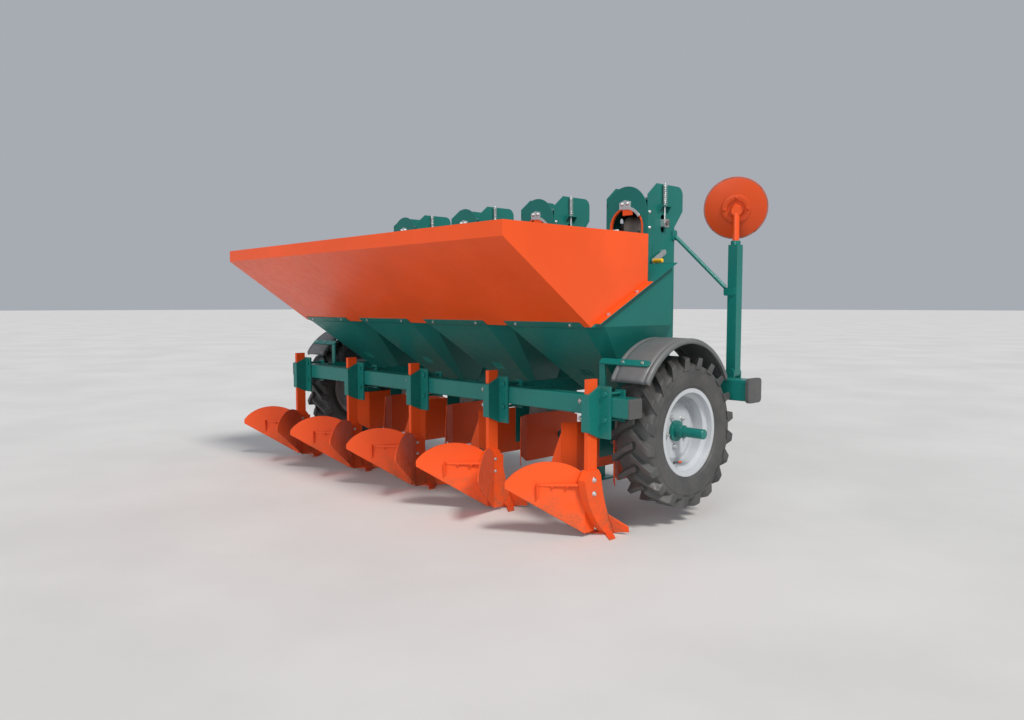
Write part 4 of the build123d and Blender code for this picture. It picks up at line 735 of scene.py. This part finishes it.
def disc_details(side_name):
    """A dark steel band at the marker disc's edge, and a pressed ring with four bolts round its middle."""
    joint = joints[f"disc_spin_{side_name}"]
    hub = Vector(joint["pos_m"])
    way = Vector(joint["axis"]).normalized()
    low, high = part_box(f"marker_disc_{side_name}")
    flat = (1 - way.z**2) ** 0.5
    radius = (high.z - low.z) / 2 / flat - DISC_EDGE_INSET
    mesh = nodes[f"marker_disc_{side_name}"].data
    reach = [(vertex.co - hub).dot(way) for vertex in mesh.vertices]
    rim = max(reach)
    back = min(reach)
    inner = radius - DISC_EDGE_BAND
    outer = radius + DISC_EDGE_PROUD
    behind = rim - DISC_EDGE_THICKNESS
    edge = bmesh.new()
    turned(edge, hub, way, [(behind, inner), (behind, outer), (rim, outer), (rim, inner)], 96, ring=True)
    piece(f"disc_edge_{side_name}", edge, f"disc_{side_name}", dark_steel)
    boss = bmesh.new()
    turned(boss, hub, way, [(back + along, radius) for along, radius in DISC_RING], 64, ring=True)
    side_way = way.orthogonal().normalized()
    for index in range(DISC_BOLT_COUNT):
        spoke = Matrix.Rotation(pi / 4 + pi / 2 * index, 3, way) @ side_way
        seat = hub + way * (back - DISC_BOLT_SEAT) + spoke * DISC_BOLT_CIRCLE
        hex_bolt(boss, seat, -way, DISC_BOLT)
    piece(f"disc_boss_{side_name}", boss, f"disc_{side_name}", orange_disc_painted_shade)


# Round the collar: height over the mast's end, and radius
COLLAR = [(0.0, 0.0200), (0.0, 0.0285), (0.020, 0.0285), (0.024, 0.0245), (0.024, 0.0200)]
COLLAR_SCREW = (0.007, 0.006)
COLLAR_SCREW_SET = 0.012
COLLAR_SCREW_RISE = 0.011


def mast_collar(side_name):
    """The clamp ring and set screw where the arm leaves its mast."""
    low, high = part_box(f"marker_mast_{side_name}")
    middle = (low + high) / 2
    form = bmesh.new()
    top = Vector((middle.x, middle.y, high.z))
    turned(form, top, (0, 0, 1), COLLAR, 32, ring=True)
    screw = (middle.x, low.y + COLLAR_SCREW_SET, high.z + COLLAR_SCREW_RISE)
    hex_bolt(form, screw, (0, -1, 0), COLLAR_SCREW)
    piece(f"mast_collar_{side_name}", form, f"marker_{side_name}", green_frame)


RIM_WELL = 0.176
VALVE_PLACE = radians(203)
VALVE_OFFSET = 0.030
VALVE_LEAN = 0.25
# Along the stem and the cap: distance from the foot, and radius
VALVE_STEM = [(0, 0.007), (0.010, 0.007), (0.013, 0.0042), (0.036, 0.0038)]
VALVE_CAP = [(0, 0.0052), (0.012, 0.0052), (0.015, 0.0036)]
VALVE_CAP_RISE = 0.034


def valve(side_name, side):
    """A tyre valve with a coloured cap, through the rim's well."""
    hub = joint_spot(f"wheel_spin_{side_name}")
    out = Vector((0, sin(VALVE_PLACE), cos(VALVE_PLACE)))
    foot = hub + Vector((side * VALVE_OFFSET, RIM_WELL * out.y, RIM_WELL * out.z))
    way = Vector((side, -VALVE_LEAN * out.y, -VALVE_LEAN * out.z))
    stem = bmesh.new()
    turned(stem, foot, way, VALVE_STEM, 16)
    piece(f"valve_stem_{side_name}", stem, f"wheel_{side_name}", cap_plastic)
    cap = bmesh.new()
    turned(cap, foot + way.normalized() * VALVE_CAP_RISE, way, VALVE_CAP, 16)
    piece(f"valve_cap_{side_name}", cap, f"wheel_{side_name}", orange_body)


CHEEK_SEAM = 0.022
SEAM_BOLT = (0.008, 0.006)
SEAM_BOLT_DROPS = (0.16, 0.25, 0.57)


def seam_bolts():
    """Bolts that hold each cheek to the flange of its arch plate."""
    low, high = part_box("elevator_arches")
    cheeks = surface_of("elevator_cheeks")
    aside = ROW_PITCH / 3
    form = bmesh.new()
    for row_x in ROWS:
        for hand in (-1, 1):
            for drop in SEAM_BOLT_DROPS:
                start = Vector((row_x + hand * aside, low.y + CHEEK_SEAM, high.z - drop))
                seat = cheeks.ray_cast(start, (-hand, 0, 0), aside)[0]
                if seat:
                    hex_bolt(form, seat, (hand, 0, 0), SEAM_BOLT)
    piece("seam_bolts", form, "frame", zinc_steel)


# Outlines in an arch window: place across the row and height over the window's top
HANGER = [(-0.050, -0.014), (-0.050, 0.026), (-0.010, 0.040), (0.034, 0.030), (0.034, -0.014)]
HANGER_SHEET = 0.005
HANGER_BOLT = (0.010, 0.008)
HANGER_BOLTS = [(-0.030, 0.018), (0.012, 0.018)]
RUBBING_BLOCK = [(-0.024, -0.052), (-0.024, -0.008), (0.050, -0.008), (0.050, -0.052)]
RUBBING_BLOCK_SINK = 0.004
RUBBING_BLOCK_DEPTH = 0.011
GUIDE_BLOCK = [(-0.128, -0.172), (-0.128, -0.132), (-0.056, -0.128), (-0.056, -0.172)]
GUIDE_BLOCK_SINK = 0.002
GUIDE_BLOCK_DEPTH = 0.014
GUIDE_SCREW = (0.007, 0.005)
GUIDE_SCREWS = [(-0.078, -0.150)]
STRAP_RADIUS = 0.118
STRAP_DROP = 0.125
STRAP_HALF_WIDTH = 0.009
STRAP_SHEET = 0.006
STRAP_LIFT = 0.003
# Degrees round the strap's middle
STRAP_START = 100
STRAP_STEP = 8.5
STRAP_STATIONS = 9


def sight_fittings():
    """Belt shaker parts in each arch window: a plated hanger and strap, a rubbing block and a guide block."""
    plate_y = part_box("elevator_arches")[0].y
    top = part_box("window_liners")[1].z
    steel = bmesh.new()
    blocks = bmesh.new()
    guides = bmesh.new()

    def upright(row_x, y, outline):
        return [(row_x + across, y, top + above) for across, above in outline]

    for row_x in ROWS:
        plate(steel, upright(row_x, plate_y, HANGER), -HANGER_SHEET)
        for spot in upright(row_x, plate_y - HANGER_SHEET, HANGER_BOLTS):
            hex_bolt(steel, spot, (0, -1, 0), HANGER_BOLT)
        strap = []
        for station in range(STRAP_STATIONS):
            angle = radians(STRAP_START - STRAP_STEP * station)
            x = row_x + STRAP_RADIUS * cos(angle)
            z = top - STRAP_DROP + STRAP_RADIUS * sin(angle)
            spot = Vector((x, plate_y - STRAP_LIFT, z))
            out = Vector((cos(angle), 0, sin(angle))) * STRAP_HALF_WIDTH
            back = Vector((0, -STRAP_SHEET, 0))
            strap.append([spot - out, spot + out, spot + out + back, spot - out + back])
        capped(steel, strap)
        plate(blocks, upright(row_x, plate_y + RUBBING_BLOCK_SINK, RUBBING_BLOCK), -RUBBING_BLOCK_DEPTH)
        plate(guides, upright(row_x, plate_y + GUIDE_BLOCK_SINK, GUIDE_BLOCK), -GUIDE_BLOCK_DEPTH)
        guide_face_y = plate_y + GUIDE_BLOCK_SINK - GUIDE_BLOCK_DEPTH
        for spot in upright(row_x, guide_face_y, GUIDE_SCREWS):
            hex_bolt(guides, spot, (0, -1, 0), GUIDE_SCREW)
    rounded_edges(piece("shaker_hangers", steel, "frame", zinc_steel), 0.0015)
    rounded_edges(piece("rubbing_blocks", blocks, "frame", orange_body), 0.003)
    rounded_edges(piece("guide_blocks", guides, "frame", pale_plastic), 0.003)


mudguards()
hopper_hem()
ridger_details()
strut_brackets()
opener_flares()
seam_bolts()
sight_fittings()
for side_name, side in SIDES.items():
    tyre(side_name, side)
    disc_details(side_name)
    mast_collar(side_name)
    valve(side_name, side)


# Stage: floor, light and camera

FLOOR_SIZE = 400
FLOOR_DARK = (0.56, 0.555, 0.545, 1.0)
FLOOR_LIGHT = (0.62, 0.615, 0.605, 1.0)
SKY = (0.86, 0.91, 1.0, 1.0)
SKY_STRENGTH = 0.45
WARM_WHITE = (1.0, 0.965, 0.92)
COOL_WHITE = (0.95, 0.97, 1.0)
CAMERA_SPOT = (4.084, -3.346, 1.186)
CAMERA_TURN = 46.76
CAMERA_TILT = -4.0
FOCAL_PIXELS = 782.76
IMAGE_WIDTH = 1024


def pale_floor():
    """A wide pale floor that runs to the horizon."""
    bpy.ops.mesh.primitive_plane_add(size=FLOOR_SIZE, location=(0, 0, 0))
    floor = bpy.context.object
    floor.name = "floor"
    s = Shader("floor_pale")
    patches = s.ramp(s.noise(0.6, 5), 0.3, 0.7)
    s.set(Base_Color=s.mix(patches, FLOOR_DARK, FLOOR_LIGHT), Roughness=s.drift(3, 4, 0.72, 0.85))
    floor.data.materials.append(s.material)


def soft_sun(name, way, power, softness, colour):
    """A broad distant light, so the floor is as bright far away as near."""
    lamp = bpy.data.lights.new(name, "SUN")
    lamp.energy = power
    lamp.angle = radians(softness)
    lamp.color = colour
    holder = bpy.data.objects.new(name, lamp)
    holder.rotation_euler = Vector(way).to_track_quat("-Z", "Y").to_euler()
    bpy.context.scene.collection.objects.link(holder)


def studio_sky():
    """An even, slightly blue sky."""
    world = bpy.data.worlds.new("studio")
    bpy.context.scene.world = world
    world.use_nodes = True
    background = world.node_tree.nodes["Background"]
    background.inputs["Color"].default_value = SKY
    background.inputs["Strength"].default_value = SKY_STRENGTH


def view_camera():
    """A camera at standing height behind the machine's right end."""
    camera_data = bpy.data.cameras.new("camera")
    camera_data.sensor_width = 36.0
    camera_data.lens = camera_data.sensor_width * FOCAL_PIXELS / IMAGE_WIDTH
    camera = bpy.data.objects.new("camera", camera_data)
    camera.location = CAMERA_SPOT
    camera.rotation_euler = (radians(90 + CAMERA_TILT), 0, radians(CAMERA_TURN))
    bpy.context.scene.collection.objects.link(camera)
    bpy.context.scene.camera = camera


pale_floor()
studio_sky()
soft_sun("key", (-0.66, 0.16, -0.74), 2.7, 12, WARM_WHITE)
soft_sun("fill", (-0.30, 0.90, -0.30), 1.25, 35, COOL_WHITE)
bpy.context.scene.view_settings.view_transform = "Standard"
view_camera()
